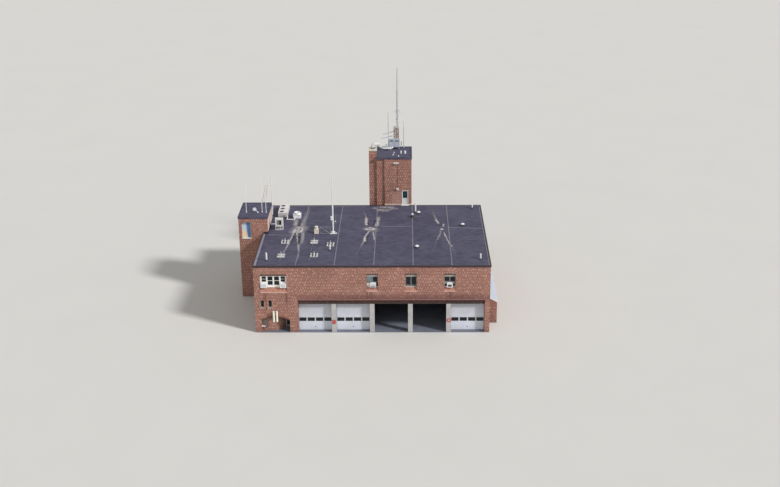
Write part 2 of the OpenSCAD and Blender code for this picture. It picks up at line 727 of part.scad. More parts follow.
module roof_mast() color(white) on_site() translate([8200, 10160, roof_top]) {
    cylinder(h = 3600, r = 75, $fn = 24);
    cylinder(h = 7500, r = 50, $fn = 16);
    cylinder(h = 80, r = 250, $fn = 32);
    translate([-160, 0, 5600]) cylinder(h = 1300, r = 25, $fn = 16);
    for (z = [5700, 6100]) bar([-160, 0, z], [0, 0, z], 15);
    bar([0, 0, 1350], [300, 0, 1350], 20);
    translate([300, 0, 1300]) cylinder(h = 120, r = 60, $fn = 24);
}

module aerial_mounts() color(white) on_site()
    for (p = [[2860, 7000], [2830, 2850], [6230, 6980], [6510, 2950], [8140, 6150]])
        translate([p[0], p[1], roof_top]) {
            for (y = [-380, 180]) translate([-430, y, 0]) cube([860, 200, 150]);
            translate([-40, -300, 0]) cube([80, 600, 60]);
            cylinder(h = 550, r = 30, $fn = 16);
        }

module roof_vents() color(grey) on_site() {
    for (p = [[1350, 1620, 900, 95], [8180, 4550, 600, 90], [17920, 16900, 1250, 90],
              [17530, 15120, 450, 140], [24940, 18250, 500, 90], [24970, 1850, 650, 90]])
        translate([p[0], p[1], roof_top]) cylinder(h = p[2], r = p[3], $fn = 24);
    for (p = [[17990, 5200], [23480, 12150], [18300, 16300]]) translate([p[0], p[1], roof_top]) {
        cylinder(h = 250, r = 130, $fn = 32);
        translate([0, 0, 250]) cylinder(h = 90, r1 = 240, r2 = 120, $fn = 32);
    }
    for (p = [[4010, 11100], [12480, 11570], [20950, 11060]]) translate([p[0], p[1], roof_top])
        cylinder(h = 40, r = 150, $fn = 32);
}

ground_slab();
second_floor_slab();
main_roof();
roof_edge_trim();
front_wall_upper();
entrance_wall_left();
entrance_wall_right();
entrance_arch();
porch_back_wall();
porch_ceiling();
porch_screen_wall();
porch_side_panel();
entrance_door_frame();
entrance_door();
porch_lanterns();
bay_lintel();
bay_pier_1();
bay_pier_2();
bay_pier_3();
bay_pier_4();
bay_end_walls();
bay_door_1();
bay_door_2();
raised_door_3();
raised_door_4();
bay_door_5();
bay_door_glass();
door_tracks();
left_wall();
right_wall();
rear_wall();
front_window_frames();
front_window_glass();
air_conditioners();
side_window_frames();
side_window_glass();
stair_tower_front_wall();
stair_tower_side_walls();
stair_tower_back_wall();
stair_tower_roof();
stair_tower_window();
stair_tower_aerials();
hose_tower_front_wall();
hose_tower_side_walls();
hose_tower_back_wall();
hose_tower_roof();
roof_access_door();
chimney();
chimney_cap();
lattice_mast();
tower_aerials();
equipment_cabinet();
annex_walls();
annex_roof();
roof_condensers();
roof_units();
roof_mast();
aerial_mounts();
roof_vents();
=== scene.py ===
import json
import math
import bmesh
import bpy
from mathutils import Matrix, Vector


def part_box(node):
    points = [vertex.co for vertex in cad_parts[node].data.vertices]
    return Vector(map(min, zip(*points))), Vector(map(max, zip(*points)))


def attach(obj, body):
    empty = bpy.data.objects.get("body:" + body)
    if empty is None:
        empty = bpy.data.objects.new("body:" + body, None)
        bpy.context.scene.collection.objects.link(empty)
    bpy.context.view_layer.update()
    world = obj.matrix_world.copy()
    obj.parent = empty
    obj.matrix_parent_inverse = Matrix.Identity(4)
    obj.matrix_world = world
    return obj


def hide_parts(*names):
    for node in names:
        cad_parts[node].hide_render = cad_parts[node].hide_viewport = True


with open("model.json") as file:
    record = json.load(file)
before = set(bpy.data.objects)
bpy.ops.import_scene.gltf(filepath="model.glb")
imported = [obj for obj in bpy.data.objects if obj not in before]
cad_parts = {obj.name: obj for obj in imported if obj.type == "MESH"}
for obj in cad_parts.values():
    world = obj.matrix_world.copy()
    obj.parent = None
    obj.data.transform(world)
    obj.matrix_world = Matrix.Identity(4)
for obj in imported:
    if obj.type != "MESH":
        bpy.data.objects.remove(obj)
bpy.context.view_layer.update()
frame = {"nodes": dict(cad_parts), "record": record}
nodes = frame["nodes"]
wallLow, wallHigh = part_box("front_wall_upper")
corner = Vector((wallLow.x, wallLow.y, 0.0))  # front-left ground corner of the main block
print("CAD frame loaded:", len(nodes), "nodes")


# colours and node trees

def linear(hexColour):  # sRGB hex to the linear values that shaders take
    parts = [int(hexColour[i:i + 2], 16) / 255 for i in (1, 3, 5)]
    return tuple(p / 12.92 if p <= 0.04045 else ((p + 0.055) / 1.055) ** 2.4 for p in parts) + (1.0,)


def addNode(tree, kind, inputs=(), give=0, **settings):
    # inputs, in order or by key, are values, hex colours or outputs of other nodes; give is the output wanted
    made = tree.nodes.new("ShaderNode" + kind)
    for key, value in settings.items():
        setattr(made, key, value)
    for key, value in inputs.items() if isinstance(inputs, dict) else enumerate(inputs):
        if isinstance(value, bpy.types.NodeSocket):
            tree.links.new(value, made.inputs[key])
        else:
            made.inputs[key].default_value = linear(value) if isinstance(value, str) else value
    return made.outputs[give] if len(made.outputs) else None


def newFinish(name, roughness, metallic=0.0):
    # empty material with its shader, and the piece's own place in metres from the building's corner
    finish = bpy.data.materials.new(name)
    finish.use_nodes = True
    tree = finish.node_tree
    tree.nodes.clear()
    surface = addNode(tree, "BsdfPrincipled", {"Roughness": roughness, "Metallic": metallic})
    addNode(tree, "OutputMaterial", (surface,))
    place = addNode(tree, "TexCoord", give="Object")
    place = addNode(tree, "VectorMath", (place, corner), operation="SUBTRACT")
    return finish, tree, surface.node, place


def worked(tree, value, *steps):
    # the value after each sum in turn, where a step is the sum's name and what else it takes
    for operation, *others in steps:
        value = addNode(tree, "Math", (value, *others), operation=operation)
    return value


def overlap(tree, share, *others):
    # what all the shares have in common
    return worked(tree, share, *(("MULTIPLY", other) for other in others))


def layered(tree, colour, *layers):
    # each layer is a tone and the share of the surface that it takes
    for tone, share in layers:
        colour = addNode(tree, "Mix", {0: share, 6: colour, 7: tone}, 2, data_type="RGBA")
    return colour


def band(tree, value, low, high, soft):
    # 1 between low and high, falling to 0 over soft on both sides
    rise = addNode(tree, "MapRange", (value, low - soft, low))
    fall = addNode(tree, "MapRange", (value, high, high + soft, 1.0, 0.0))
    return overlap(tree, rise, fall)


def noise(tree, place, size, stretch=(1, 1, 1), detail=3.0, roughness=0.55):
    # soft noise whose lumps are about size metres across
    stretched = addNode(tree, "VectorMath", (place, stretch), operation="MULTIPLY")
    return addNode(tree, "TexNoise", {"Vector": stretched, "Scale": 1 / size, "Detail": detail,
                                      "Roughness": roughness}, "Fac")


def patches(tree, place, size, low, high, share, **shape):
    # takes the share where the noise is past high, and none where it is below low
    return addNode(tree, "MapRange", (noise(tree, place, size, **shape), low, high, 0.0, share))


def streak(tree, flat, start, end, width, first, last):
    # soft mark on the roof from start to end in metres, as strong as first at its start and last at its end
    origin = Vector((*start, 0))
    run = Vector((*end, 0)) - origin
    away = addNode(tree, "VectorMath", (flat, origin), operation="SUBTRACT")
    share = addNode(tree, "VectorMath", (away, run / run.length_squared), 1, operation="DOT_PRODUCT")
    share = addNode(tree, "MapRange", (share,))
    nearest = addNode(tree, "VectorMath", {0: run, 3: share}, operation="SCALE")
    gap = addNode(tree, "VectorMath", (away, nearest), 1, operation="DISTANCE")
    edge = addNode(tree, "MapRange", (gap, width * 0.15, width, 1.0, 0.0))
    return overlap(tree, edge, addNode(tree, "MapRange", (share, 0.0, 1.0, first, last)))


def dressed(tree, shader, colour, height, depth, strength=1.0):
    # colour and relief go into the shader; depth is the relief's full height in metres
    bump = addNode(tree, "Bump", {"Strength": strength, "Distance": depth, "Height": height}, "Normal")
    tree.links.new(colour, shader.inputs["Base Color"])
    tree.links.new(bump, shader.inputs["Normal"])


allThree = slice(0, 3)  # every axis that a split gives

# Fired clay face brick, extruded and wire cut: matt, each brick its own shade, pale worn mortar.
# Every fifth course has pale headers among its stretchers, which gives the wall its rows of light dots;
# they are drawn two courses tall, because one course is finer than the photograph shows.
brickWork = {"brick": 0.203, "course": 0.0714, "joint": 0.012, "headerEvery": 5.0, "headerStep": 0.275,
             "headerWide": 0.135, "dark": "#8A5A4C", "light": "#AE7766", "flashed": "#6A4740",
             "pale": "#C9A08E", "mortar": "#B39A8F", "grime": "#573F3A", "header": "#D9AC9C"}
# How much of the clay each kind of wear takes, and the tones of the splashed and the faded patch.
wallWear = {"gaps": 0.30, "headers": (0.05, 0.85), "burnt": 0.8, "grain": 0.15, "clouds": 0.26,
            "bleached": 0.18, "rain": 0.18, "foot": 0.3, "splash": "#5C383A", "splashed": 0.62,
            "fade": "#C7A39A", "faded": 0.3}
# Left, right, low and high of each run of dirt under a cooler or a sill.
dripSpots = [(12.74, 13.08, 3.5, 4.95), (12.42, 12.52, 3.7, 4.9), (1.0, 1.1, 4.1, 4.9), (3.45, 3.6, 3.9, 4.9),
             (21.5, 21.7, 3.9, 4.95)]


def makeBrick(name, work, weather=1.0, stains=True):
    finish, tree, shader, place = newFinish(name, 0.88)
    x, y, z = addNode(tree, "SeparateXYZ", (place,), allThree)
    run = worked(tree, x, ("ADD", y))  # runs on round each corner, so no face needs its own pattern
    wall = addNode(tree, "CombineXYZ", (run, z))
    tint = addNode(tree, "TexBrick", {"Vector": wall, "Scale": 1.0, "Brick Width": work["brick"],
                                      "Row Height": work["course"], "Mortar Size": work["joint"] / 2,
                                      "Mortar Smooth": 0.3, "Bias": 0.0, "Color1": (0, 0, 0, 1),
                                      "Color2": (1, 1, 1, 1), "Mortar": (0.5, 0.5, 0.5, 1)}, "Color")
    mortar = tint.node.outputs["Fac"]
    row = worked(tree, z, ("DIVIDE", work["course"]), ("FLOOR",))
    headers = worked(tree, row, ("FLOORED_MODULO", work["headerEvery"]), ("LESS_THAN", 1.5))
    lift = worked(tree, row, ("DIVIDE", work["headerEvery"]), ("FLOOR",), ("MULTIPLY", 0.5))
    count = worked(tree, run, ("DIVIDE", work["headerStep"]), ("ADD", lift))
    dots = worked(tree, count, ("FRACT",), ("LESS_THAN", work["headerWide"] / work["headerStep"]))
    dots = overlap(tree, headers, dots)
    gaps = worked(tree, headers, ("SUBTRACT", dots), ("MULTIPLY", wallWear["gaps"]))
    dotPlace = addNode(tree, "CombineXYZ", (worked(tree, count, ("FLOOR",)), lift))
    fired = addNode(tree, "TexWhiteNoise", {"Vector": dotPlace}, noise_dimensions="2D")
    fired = addNode(tree, "MapRange", (fired, 0.0, 1.0, *wallWear["headers"]))
    burnt = addNode(tree, "MapRange", (tint, 0.88, 0.90, 0.0, wallWear["burnt"]))
    bleached = addNode(tree, "MapRange", (tint, 0.955, 0.965))
    grain = noise(tree, place, 0.03, detail=2.0)
    dusty = addNode(tree, "MapRange", (grain, 0.3, 0.7, 0.0, wallWear["grain"]))
    clouds = noise(tree, wall, 3.4, (1, 0.7, 1), 2.0)
    cloudy = addNode(tree, "MapRange", (clouds, 0.42, 0.75, 0.0, wallWear["clouds"] * weather))
    sunned = patches(tree, wall, 1.9, 0.5, 0.8, wallWear["bleached"], stretch=(0.5, 1.6, 1), detail=2.0)
    runs = noise(tree, wall, 0.35, (1, 0.12, 1))
    rain = addNode(tree, "MapRange", (runs, 0.55, 0.8, 0.0, wallWear["rain"] * weather))
    foot = addNode(tree, "MapRange", (z, 0.0, 1.0, wallWear["foot"] * weather, 0.0))
    layers = [(work["light"], tint), (work["flashed"], gaps), (work["header"], overlap(tree, dots, fired)),
              (work["flashed"], burnt), (work["pale"], bleached), (work["flashed"], dusty),
              (work["mortar"], mortar), (work["grime"], cloudy), (work["pale"], sunned),
              (work["grime"], worked(tree, rain, ("ADD", foot)))]
    if stains:
        front = addNode(tree, "MapRange", (y, 0.6, 0.7, 1.0, 0.0))
        overBays = addNode(tree, "MapRange", (x, 4.5, 4.8, 0.0, wallWear["splashed"]))
        damp = addNode(tree, "MapRange", (clouds, 0.3, 0.6, 0.5, 1.0))
        splash = overlap(tree, band(tree, z, 4.0, 4.4, 0.45), overBays, front, damp)
        besideDoor = overlap(tree, band(tree, x, 15.5, 16.2, 0.7), band(tree, z, 8.1, 9.2, 1.2),
                             band(tree, y, 19.2, 19.4, 0.05), wallWear["faded"])
        layers += [(wallWear["splash"], splash), (wallWear["fade"], besideDoor)]
        for left, right, low, high in dripSpots:
            soaked = addNode(tree, "MapRange", (runs, 0.3, 0.6, 0.35, 0.75))
            drip = overlap(tree, band(tree, x, left, right, 0.08), band(tree, z, low, high, 0.5), front,
                           soaked)
            layers.append((work["flashed"], drip))
    height = worked(tree, 1.0, ("SUBTRACT", mortar), ("ADD", worked(tree, grain, ("MULTIPLY", 0.3))))
    dressed(tree, shader, layered(tree, work["dark"], *layers), height, 0.006)
    return finish


# Single-ply roofing sheet, rolled out with welded laps: charcoal and matt, dusted, chalked where it ponds.
# Each mark has its start, end, width and strength at both ends: pale chalk, then wet dirt, then leaf litter.
roofSheet = {"colour": "#424155", "worn": "#4D4C61", "dust": "#605E72", "salt": "#D9D0CB", "wet": "#24222E",
             "litter": "#DCD3C6", "sheet": 4.3, "first": 0.37, "wander": (0.36, 0.5, 0)}
chalkMarks = [((3.95, 10.4), (4.25, 11.7), 1.15, 0.65, 0.65), ((3.70, 11.1), (3.55, 10.2), 0.32, 1, 1),
              ((4.50, 11.2), (4.45, 10.3), 0.36, 1, 1), ((3.9, 11.9), (4.4, 11.8), 0.26, 1, 0.8),
              ((3.95, 10.0), (4.63, 4.6), 0.12, 1, 0.65), ((4.63, 4.6), (4.81, 2.2), 0.10, 0.5, 0.15),
              ((3.6, 9.9), (3.34, 6.8), 0.20, 1, 0.9), ((3.34, 6.8), (2.99, 3.9), 0.13, 0.7, 0.4),
              ((2.99, 3.9), (2.73, 1.1), 0.11, 0.35, 0.04), ((4.70, 9.9), (4.83, 6.7), 0.26, 0.75, 0.3),
              ((3.6, 12.6), (3.48, 14.3), 0.42, 0.75, 0.4), ((4.35, 12.4), (4.74, 17.8), 0.36, 0.5, 0.08),
              ((12.1, 11.1), (12.2, 11.1), 0.34, 1, 1), ((12.9, 11.2), (12.95, 11.2), 0.42, 1, 1),
              ((12.3, 11.2), (12.9, 10.9), 0.9, 0.35, 0.35), ((12.0, 12.6), (11.96, 14.7), 0.26, 0.95, 0.95),
              ((11.96, 14.7), (11.76, 16.1), 0.15, 0.5, 0.25),
              ((11.76, 16.1), (11.37, 17.7), 0.12, 0.22, 0.04),
              ((13.22, 12.3), (13.42, 15.1), 0.34, 0.9, 0.55), ((12.4, 10.4), (11.95, 8.4), 0.16, 0.85, 0.95),
              ((11.96, 8.2), (12.0, 7.3), 0.26, 1, 1), ((11.9, 7.0), (11.6, 5.8), 0.13, 0.5, 0.25),
              ((11.6, 5.8), (11.0, 2.2), 0.11, 0.15, 0.02), ((12.9, 10.1), (13.1, 7.8), 0.10, 0.8, 0.8),
              ((20.93, 11.0), (21.02, 11.1), 0.22, 1, 1), ((20.77, 10.3), (20.79, 10.2), 0.15, 0.8, 0.8),
              ((21.15, 12.0), (21.24, 12.8), 0.15, 0.7, 0.7), ((20.65, 12.9), (20.4, 14.2), 0.17, 0.85, 0.95),
              ((20.4, 14.2), (20.0, 17.4), 0.17, 0.4, 0.05), ((20.8, 9.8), (20.36, 7.8), 0.11, 0.45, 0.5),
              ((20.36, 7.8), (19.5, 2.6), 0.10, 0.12, 0.02), ((21.19, 9.9), (21.67, 6.8), 0.10, 0.9, 0.75),
              ((21.67, 6.8), (21.95, 5.7), 0.20, 0.45, 0.5), ((21.95, 5.7), (22.3, 2.7), 0.11, 0.12, 0.02),
              ((12.2, 11.2), (12.9, 11.2), 0.55, 0.85, 0.95)]
wetMarks = [((3.80, 9.8), (3.50, 6.8), 0.24, 1, 0.9), ((4.30, 9.7), (4.45, 6.5), 0.22, 1, 0.9),
            ((3.96, 12.3), (3.9, 14.1), 0.22, 0.9, 0.6), ((3.9, 11.05), (4.2, 11.05), 0.26, 1, 1),
            ((12.15, 13.3), (12.35, 12.5), 0.14, 1, 1), ((12.89, 12.4), (13.16, 14.3), 0.19, 1, 1),
            ((12.53, 12.2), (13.9, 11.9), 0.10, 1, 0.7), ((12.45, 9.9), (12.1, 6.3), 0.12, 1, 0.8),
            ((12.45, 11.4), (12.5, 11.3), 0.24, 1, 1), ((13.78, 3.95), (13.78, 3.87), 0.15, 0.8, 0.8),
            ((20.9, 11.3), (21.15, 11.3), 0.14, 0.8, 0.8)]
litterMarks = [((13.5, 17.7), (14.3, 17.6), 0.62, 0.75, 0.65), ((13.7, 18.7), (15.1, 18.6), 0.40, 1, 0.9),
               ((12.8, 18.4), (13.1, 18.3), 0.36, 0.8, 0.8), ((14.7, 18.1), (15.5, 18.2), 0.45, 0.6, 0.6)]
markTones = [(chalkMarks, "salt", 1.0, (0.32, 0.60)), (wetMarks, "wet", 0.95, (0.25, 0.42)),
             (litterMarks, "litter", 0.85, (0.47, 0.58))]


def makeRoofing(name, sheet):
    finish, tree, shader, place = newFinish(name, 0.72)
    shader.inputs["Specular IOR Level"].default_value = 0.3
    across = addNode(tree, "SeparateXYZ", (place,))
    roll = worked(tree, across, ("SUBTRACT", sheet["first"]), ("DIVIDE", sheet["sheet"]), ("FLOOR",))
    rollShade = addNode(tree, "TexWhiteNoise", {"W": roll}, noise_dimensions="1D")
    grit = noise(tree, place, 0.16, (0.22, 1.3, 1), 4.0)
    colour = layered(tree, sheet["colour"],
                     (sheet["worn"], addNode(tree, "MapRange", (rollShade, 0.0, 1.0, 0.0, 0.5))),
                     (sheet["dust"], patches(tree, place, 2.2, 0.4, 0.75, 0.55)),
                     (sheet["dust"], addNode(tree, "MapRange", (grit, 0.5, 0.75, 0.0, 0.75))),
                     (sheet["wet"], addNode(tree, "MapRange", (grit, 0.5, 0.27, 0.0, 0.65))))
    rough = noise(tree, place, 0.15, (1, 0.6, 1), 4.0, 0.65)
    wander = addNode(tree, "TexNoise", {"Vector": place, "Scale": 1.7, "Detail": 4.0, "Roughness": 0.75},
                     "Color")
    reach = Vector(sheet["wander"])  # how far the edges of the marks stray, in metres
    wander = addNode(tree, "VectorMath", (wander, reach, -reach / 2), operation="MULTIPLY_ADD")
    flat = addNode(tree, "VectorMath", (place, (1, 1, 0), wander), operation="MULTIPLY_ADD")
    for marks, tone, strongest, limits in markTones:
        share = streak(tree, flat, *marks[0])
        for mark in marks[1:]:
            share = worked(tree, share, ("MAXIMUM", streak(tree, flat, *mark)))
        share = overlap(tree, share, addNode(tree, "MapRange", (rough, *limits, 0.20, strongest)))
        colour = layered(tree, colour, (sheet[tone], share))
    dressed(tree, shader, colour, grit, 0.004)
    return finish


def makePaint(name, base, dirt, roughness, metallic=0.0, dirtShare=0.35, lump=0.6, fine=0.05, runs=False,
              second=None):
    # brushed, rolled or baked coat: a little cloudy, dirtier in patches, with a faint orange peel
    finish, tree, shader, place = newFinish(name, roughness, metallic)
    x, y, z = addNode(tree, "SeparateXYZ", (place,), allThree)
    if second:  # a second colour taking over along one axis between two places
        axis, low, high, tone = second
        base = layered(tree, base, (tone, addNode(tree, "MapRange", ((x, y, z)[axis], low, high))))
    layers = [(dirt, patches(tree, place, lump, 0.4, 0.8, dirtShare))]
    if runs:
        along = worked(tree, x, ("ADD", y))
        fallen = addNode(tree, "CombineXYZ", (along, worked(tree, z, ("MULTIPLY", 0.12))))
        layers.append((dirt, patches(tree, fallen, 0.12, 0.5, 0.8, dirtShare)))
    grain = noise(tree, place, fine, detail=2.0)
    layers.append((dirt, addNode(tree, "MapRange", (grain, 0.35, 0.7, 0.0, dirtShare * 0.4))))
    dressed(tree, shader, layered(tree, base, *layers), grain, 0.001, 0.6)
    return finish


looseStep = {"along": 0.0677, "up": 0.24}  # one brick on edge with its joint, and a height with one row only


def makeLooseBrick(name, work):
    # the same clay where each brick is a block of its own: one shade a brick, sanded face
    finish, tree, shader, place = newFinish(name, 0.88)
    x, y, z = addNode(tree, "SeparateXYZ", (place,), allThree)
    cell = worked(tree, x, ("ADD", y), ("DIVIDE", looseStep["along"]), ("FLOOR",))
    row = worked(tree, z, ("DIVIDE", looseStep["up"]), ("FLOOR",))
    shade = addNode(tree, "TexWhiteNoise", {"Vector": addNode(tree, "CombineXYZ", (cell, row))},
                    noise_dimensions="2D")
    grain = noise(tree, place, 0.03, detail=2.0)
    colour = layered(tree, work["dark"], (work["light"], shade),
                     (work["flashed"], addNode(tree, "MapRange", (grain, 0.35, 0.7, 0.0, 0.3))),
                     (work["grime"], patches(tree, place, 0.8, 0.45, 0.75, 0.4)))
    dressed(tree, shader, colour, grain, 0.003)
    return finish


def makeRusty(name, steel, rust, rustBelow):
    # hot-dip galvanised steel that has rusted through on its lower length
    finish, tree, shader, place = newFinish(name, 0.6, 0.35)
    z = addNode(tree, "SeparateXYZ", (place,), 2)
    blotch = noise(tree, place, 0.18, detail=4.0)
    low = addNode(tree, "MapRange", (z, rustBelow - 0.15, rustBelow + 0.15, 1.0, 0.0))
    share = worked(tree, low, ("MAXIMUM", addNode(tree, "MapRange", (blotch, 0.62, 0.72))))
    scabs = addNode(tree, "MapRange", (blotch, 0.35, 0.6, 0.35, 0.0))
    dressed(tree, shader, layered(tree, steel, (rust, share), ("#4A3830", scabs)), blotch, 0.002)
    return finish


def makeGlass(name, tint, deep, paintedReflection=None):
    # float glass in front of dark rooms: smooth, with slow waves from the float line
    finish, tree, shader, place = newFinish(name, 0.06)
    colour = layered(tree, deep, (tint, patches(tree, place, 0.9, 0.35, 0.7, 1.0)))
    # painted reflection of the sky: pale to the left of a slanting line, cream in its lower half
    if paintedReflection:  # pale sash to the left of a slanting line, cream in its lower half
        x, y, z = addNode(tree, "SeparateXYZ", (place,), allThree)
        slant = worked(tree, x, ("ADD", worked(tree, z, ("MULTIPLY", paintedReflection["slant"]))))
        fold = worked(tree, z, ("ADD", worked(tree, x, ("MULTIPLY", paintedReflection["fold"]))))
        pale = layered(tree, paintedReflection["cream"],
                       (paintedReflection["sky"], addNode(tree, "MapRange", (fold, *paintedReflection["creamTo"]))))
        colour = layered(tree, pale, (colour, addNode(tree, "MapRange", (slant, *paintedReflection["paleTo"]))))
    shader.inputs["IOR"].default_value = 1.52
    shader.inputs["Specular IOR Level"].default_value = 0.3
    dressed(tree, shader, colour, noise(tree, place, 0.6, detail=0.0), 0.002, 0.4)
    return finish


finishes = {
    "brick": makeBrick("wire-cut face brick", brickWork),
    # almost black brick, with its joints barely showing
    "dark_brick": makeBrick("manganese dark brick", dict(brickWork, dark="#33231F", light="#4B332E",
                                                         flashed="#241917", pale="#6B4B43", header="#57403A",
                                                         mortar="#46342F", grime="#1E1615"), 0.8, False),
    # trowelled by hand: mid grey, matt, clouded over its whole face
    "concrete": makePaint("trowelled concrete", "#8E8C88", "#5E5B57", 0.85, dirtShare=0.55, lump=1.5,
                          fine=0.08),
    # cast in a form and painted: a pale even grey with rain runs
    "pier_concrete": makePaint("painted cast concrete", "#BDBBBB", "#85807D", 0.8, dirtShare=0.5, lump=0.7,
                               runs=True),
    "roofing": makeRoofing("welded roofing sheet", roofSheet),
    # folded and coated: a dark line, dull where dust lies on it
    "trim": makePaint("dark brown coated edge metal", "#2D1F24", "#4A3B42", 0.6, lump=1.2),
    # stove-enamelled sheet: cool white with a soft shine, greyer towards its head, where dirt and painted
    # shade from the lintel lie
    "door_paint": makePaint("baked white door steel", "#D6DAE6", "#A5A49F", 0.42, dirtShare=0.3, lump=1.2,
                            runs=True, second=(2, 1.2, 3.2, "#BBBDC6")),
    # powder coat on a drawn section: clean white, satin
    "white_metal": makePaint("white powder-coated aluminium", "#E2E1DE", "#AAA59C", 0.4, dirtShare=0.35,
                             runs=True),
    # gel coat over glass fibre: bright and even
    "white_plastic": makePaint("white glass-fibre tube", "#E8E8EA", "#B9B6B2", 0.45, dirtShare=0.25),
    # enamel gone yellow in the sun: cream with brown runs
    "cabinet_paint": makePaint("cream enamelled sheet", "#EAE1D1", "#A99D8C", 0.5, dirtShare=0.4, lump=0.5,
                               runs=True),
    # zinc gone dull: grey, mottled, half metal to the eye
    "galvanised": makePaint("weathered galvanised steel", "#9EA1A6", "#6F7073", 0.5, 0.55, dirtShare=0.5,
                            lump=0.2),
    # rolled and coated sheet: pale blue-grey, the blue a painted reflection of the sky
    "annex_metal": makePaint("pale blue-grey roof sheet", "#C3CAD5", "#8E95A0", 0.45, 0.2, dirtShare=0.4,
                             lump=0.8),
    # anodised dark: near black with a brown cast
    "door_glass": makePaint("dark bronze door coat", "#2B2A2C", "#45423F", 0.35, 0.3, lump=0.4),
    "glass": makeGlass("dark float glass", "#1C2228", "#0E1114")}
whiteMetal = finishes["white_metal"]
whiteTube = finishes["white_plastic"]
zinc = finishes["galvanised"]
# cabinet enamel with a painted tint of sky light: blue-grey, cooler than the cream sheet beside it
cabinetBlue = makePaint("pale blue-grey cabinet enamel", "#B9C0CC", "#7B7F88", 0.5, dirtShare=0.4, lump=0.5,
                        runs=True)
# brushed masonry paint: chalky white
whiteCap = makePaint("white painted chimney cap", "#DDD8CC", "#A39A8B", 0.7, dirtShare=0.4, lump=0.3)
mastSteel = makeRusty("galvanised mast steel", "#C6C8CD", "#6B4433", 16.9)
# white paint in the group, worn to grey over the bays
windowGrey = makePaint("painted window frame", "#F3F1EC", "#ABA69F", 0.45, dirtShare=0.35, runs=True,
                       second=(0, 4.0, 5.0, "#6A676A"))
# glass fibre that has lost its gloss: pale blue-grey
aerialTube = makePaint("grey-white glass-fibre aerial", "#C0C3C9", "#9DA0A5", 0.45, dirtShare=0.3, lump=0.3)
# baked white with a pink cast of dust
unitWhite = makePaint("weathered white unit casing", "#E9E3E2", "#A79FA4", 0.5, dirtShare=0.35, lump=0.5,
                      runs=True)
# steel-trowelled floor, darkened to blue-grey with painted shade inside the bays, a little shiny
paintedShadeFloor = makePaint("damp steel-trowelled floor", "#757986", "#4E515A", 0.6, dirtShare=0.5, lump=1.4,
                      fine=0.08)
# smeared mortar: a dull pink line
lapMortar = makePaint("pale mortar weathering", "#8F7274", "#6C5355", 0.9, dirtShare=0.5, lump=0.4)
looseBrick = makeLooseBrick("sanded rowlock brick", brickWork)
# the same brick, lighter and warmer: painted sunlight on the sills, which face up
sunPaintedSillBrick = makeLooseBrick("bleached sill brick", dict(brickWork, dark="#B27A69", light="#D09C8A",
                                                      flashed="#8F6254", grime="#7A554B"))
# brick in chalk pink, with the courses just showing: painted sunlight on the stair tower's right face
paintedSunBrick = makeBrick("limewashed brick", dict(brickWork, dark="#C3A29B", light="#DBC5BF",
                                                   flashed="#AC8A83", pale="#E9DAD5", header="#DCC8C2",
                                                   mortar="#DDD1CC", grime="#A68D86"), 0.7, False)
# dark red-brown, matt: on the window head panels it is painted shade under each reveal's head, on the conduit
# the pipe's own dark with painted shade beside it
brownAndPaintedShade = makePaint("brown painted window head", "#5B3B38", "#3F2B29", 0.7, dirtShare=0.5, lump=0.3)
# bare metal gone dull: a warm light grey
headRail = makePaint("weathered aluminium head rail", "#B0A6A0", "#8A7E79", 0.6, dirtShare=0.4, lump=0.3)
# red coat faded by the sun: pale pink
paleFlashing = makePaint("bleached pink flashing", "#D2B9AB", "#9A8578", 0.6, dirtShare=0.4, lump=0.4)
# painted sky reflection on a pane: blue-grey and light
paintedSkyGlass = makeGlass("glass before a pale blind", "#80929A", "#6C7D84")
# moulded rubber: flat black
blackRubber = makePaint("black door-seal rubber", "#232325", "#3C3B3A", 0.7, dirtShare=0.5, lump=0.3)
# enamelled bars: dark, dusty on top
darkGrille = makePaint("dark enamelled coil grille", "#2E2F33", "#4A4846", 0.55, dirtShare=0.5, lump=0.1)
# pressed fins full of dust: a dull light grey
paleGrille = makePaint("dusty aluminium coil fins", "#9FA0A2", "#77757A", 0.6, 0.3, dirtShare=0.5, lump=0.1)
# rolled and painted: slate with spots of rust
darkSteel = makePaint("painted dark angle steel", "#3B3F47", "#5B4A40", 0.5, 0.2, dirtShare=0.4, lump=0.15)
# foam sleeve: soft black
pipeLagging = makePaint("black foam pipe lagging", "#37353A", "#6A6460", 0.8, dirtShare=0.4, lump=0.2)
# baked enamel: signal red, a little faded
redEnamel = makePaint("red enamelled sign plate", "#B5504E", "#8A5A55", 0.4, dirtShare=0.3, lump=0.2)
# cast blocks: chalky white
ballast = makePaint("pale cast ballast block", "#DAD8D4", "#9E9A95", 0.85, dirtShare=0.45, lump=0.25)
# the lap's edge holds dust: a thin lighter line
lapSheet = makePaint("welded lap with chalked edge", "#6E6C7A", "#8F8C96", 0.6, dirtShare=0.5, lump=1.1,
                     fine=0.06)
# lighter sheet along the rim: painted sunlight where it turns up to the edge
paintedSunEdge = makePaint("chalked perimeter sheet", "#8D8B98", "#6E6C79", 0.6, dirtShare=0.5, lump=0.8,
                      fine=0.06)
# opal glass: milky and warm, with a soft shine
lampGlass = makePaint("opal lamp glass", "#E9E4D6", "#C6C0B4", 0.25, dirtShare=0.2)
# red lead paint under chalk: greyish pink
pinkSteel = makePaint("faded red-lead lattice steel", "#B79A97", "#8D6C66", 0.6, 0.2, dirtShare=0.4, lump=0.2)
# window glass with a painted reflection of the sky, pale and cream over its left half
paintedSkyPane = makeGlass("sky-blue window glass", "#6C98C6", "#4F7DA8",
                    {"slant": 0.1, "paleTo": (-1.12, -1.0), "fold": 0.8, "creamTo": (6.45, 6.85),
                     "cream": "#EDCDA9", "sky": "#BFD0E2"})
# a pale pink line along each sill's front edge
paleEdge = makePaint("bleached sill nosing", "#D9BDB2", "#A98A80", 0.8, dirtShare=0.4, lump=0.3)
# rust right through: red-brown, matt
rustSteel = makePaint("rusted lattice bar", "#7A4C38", "#543428", 0.8, 0.1, dirtShare=0.6, lump=0.1)
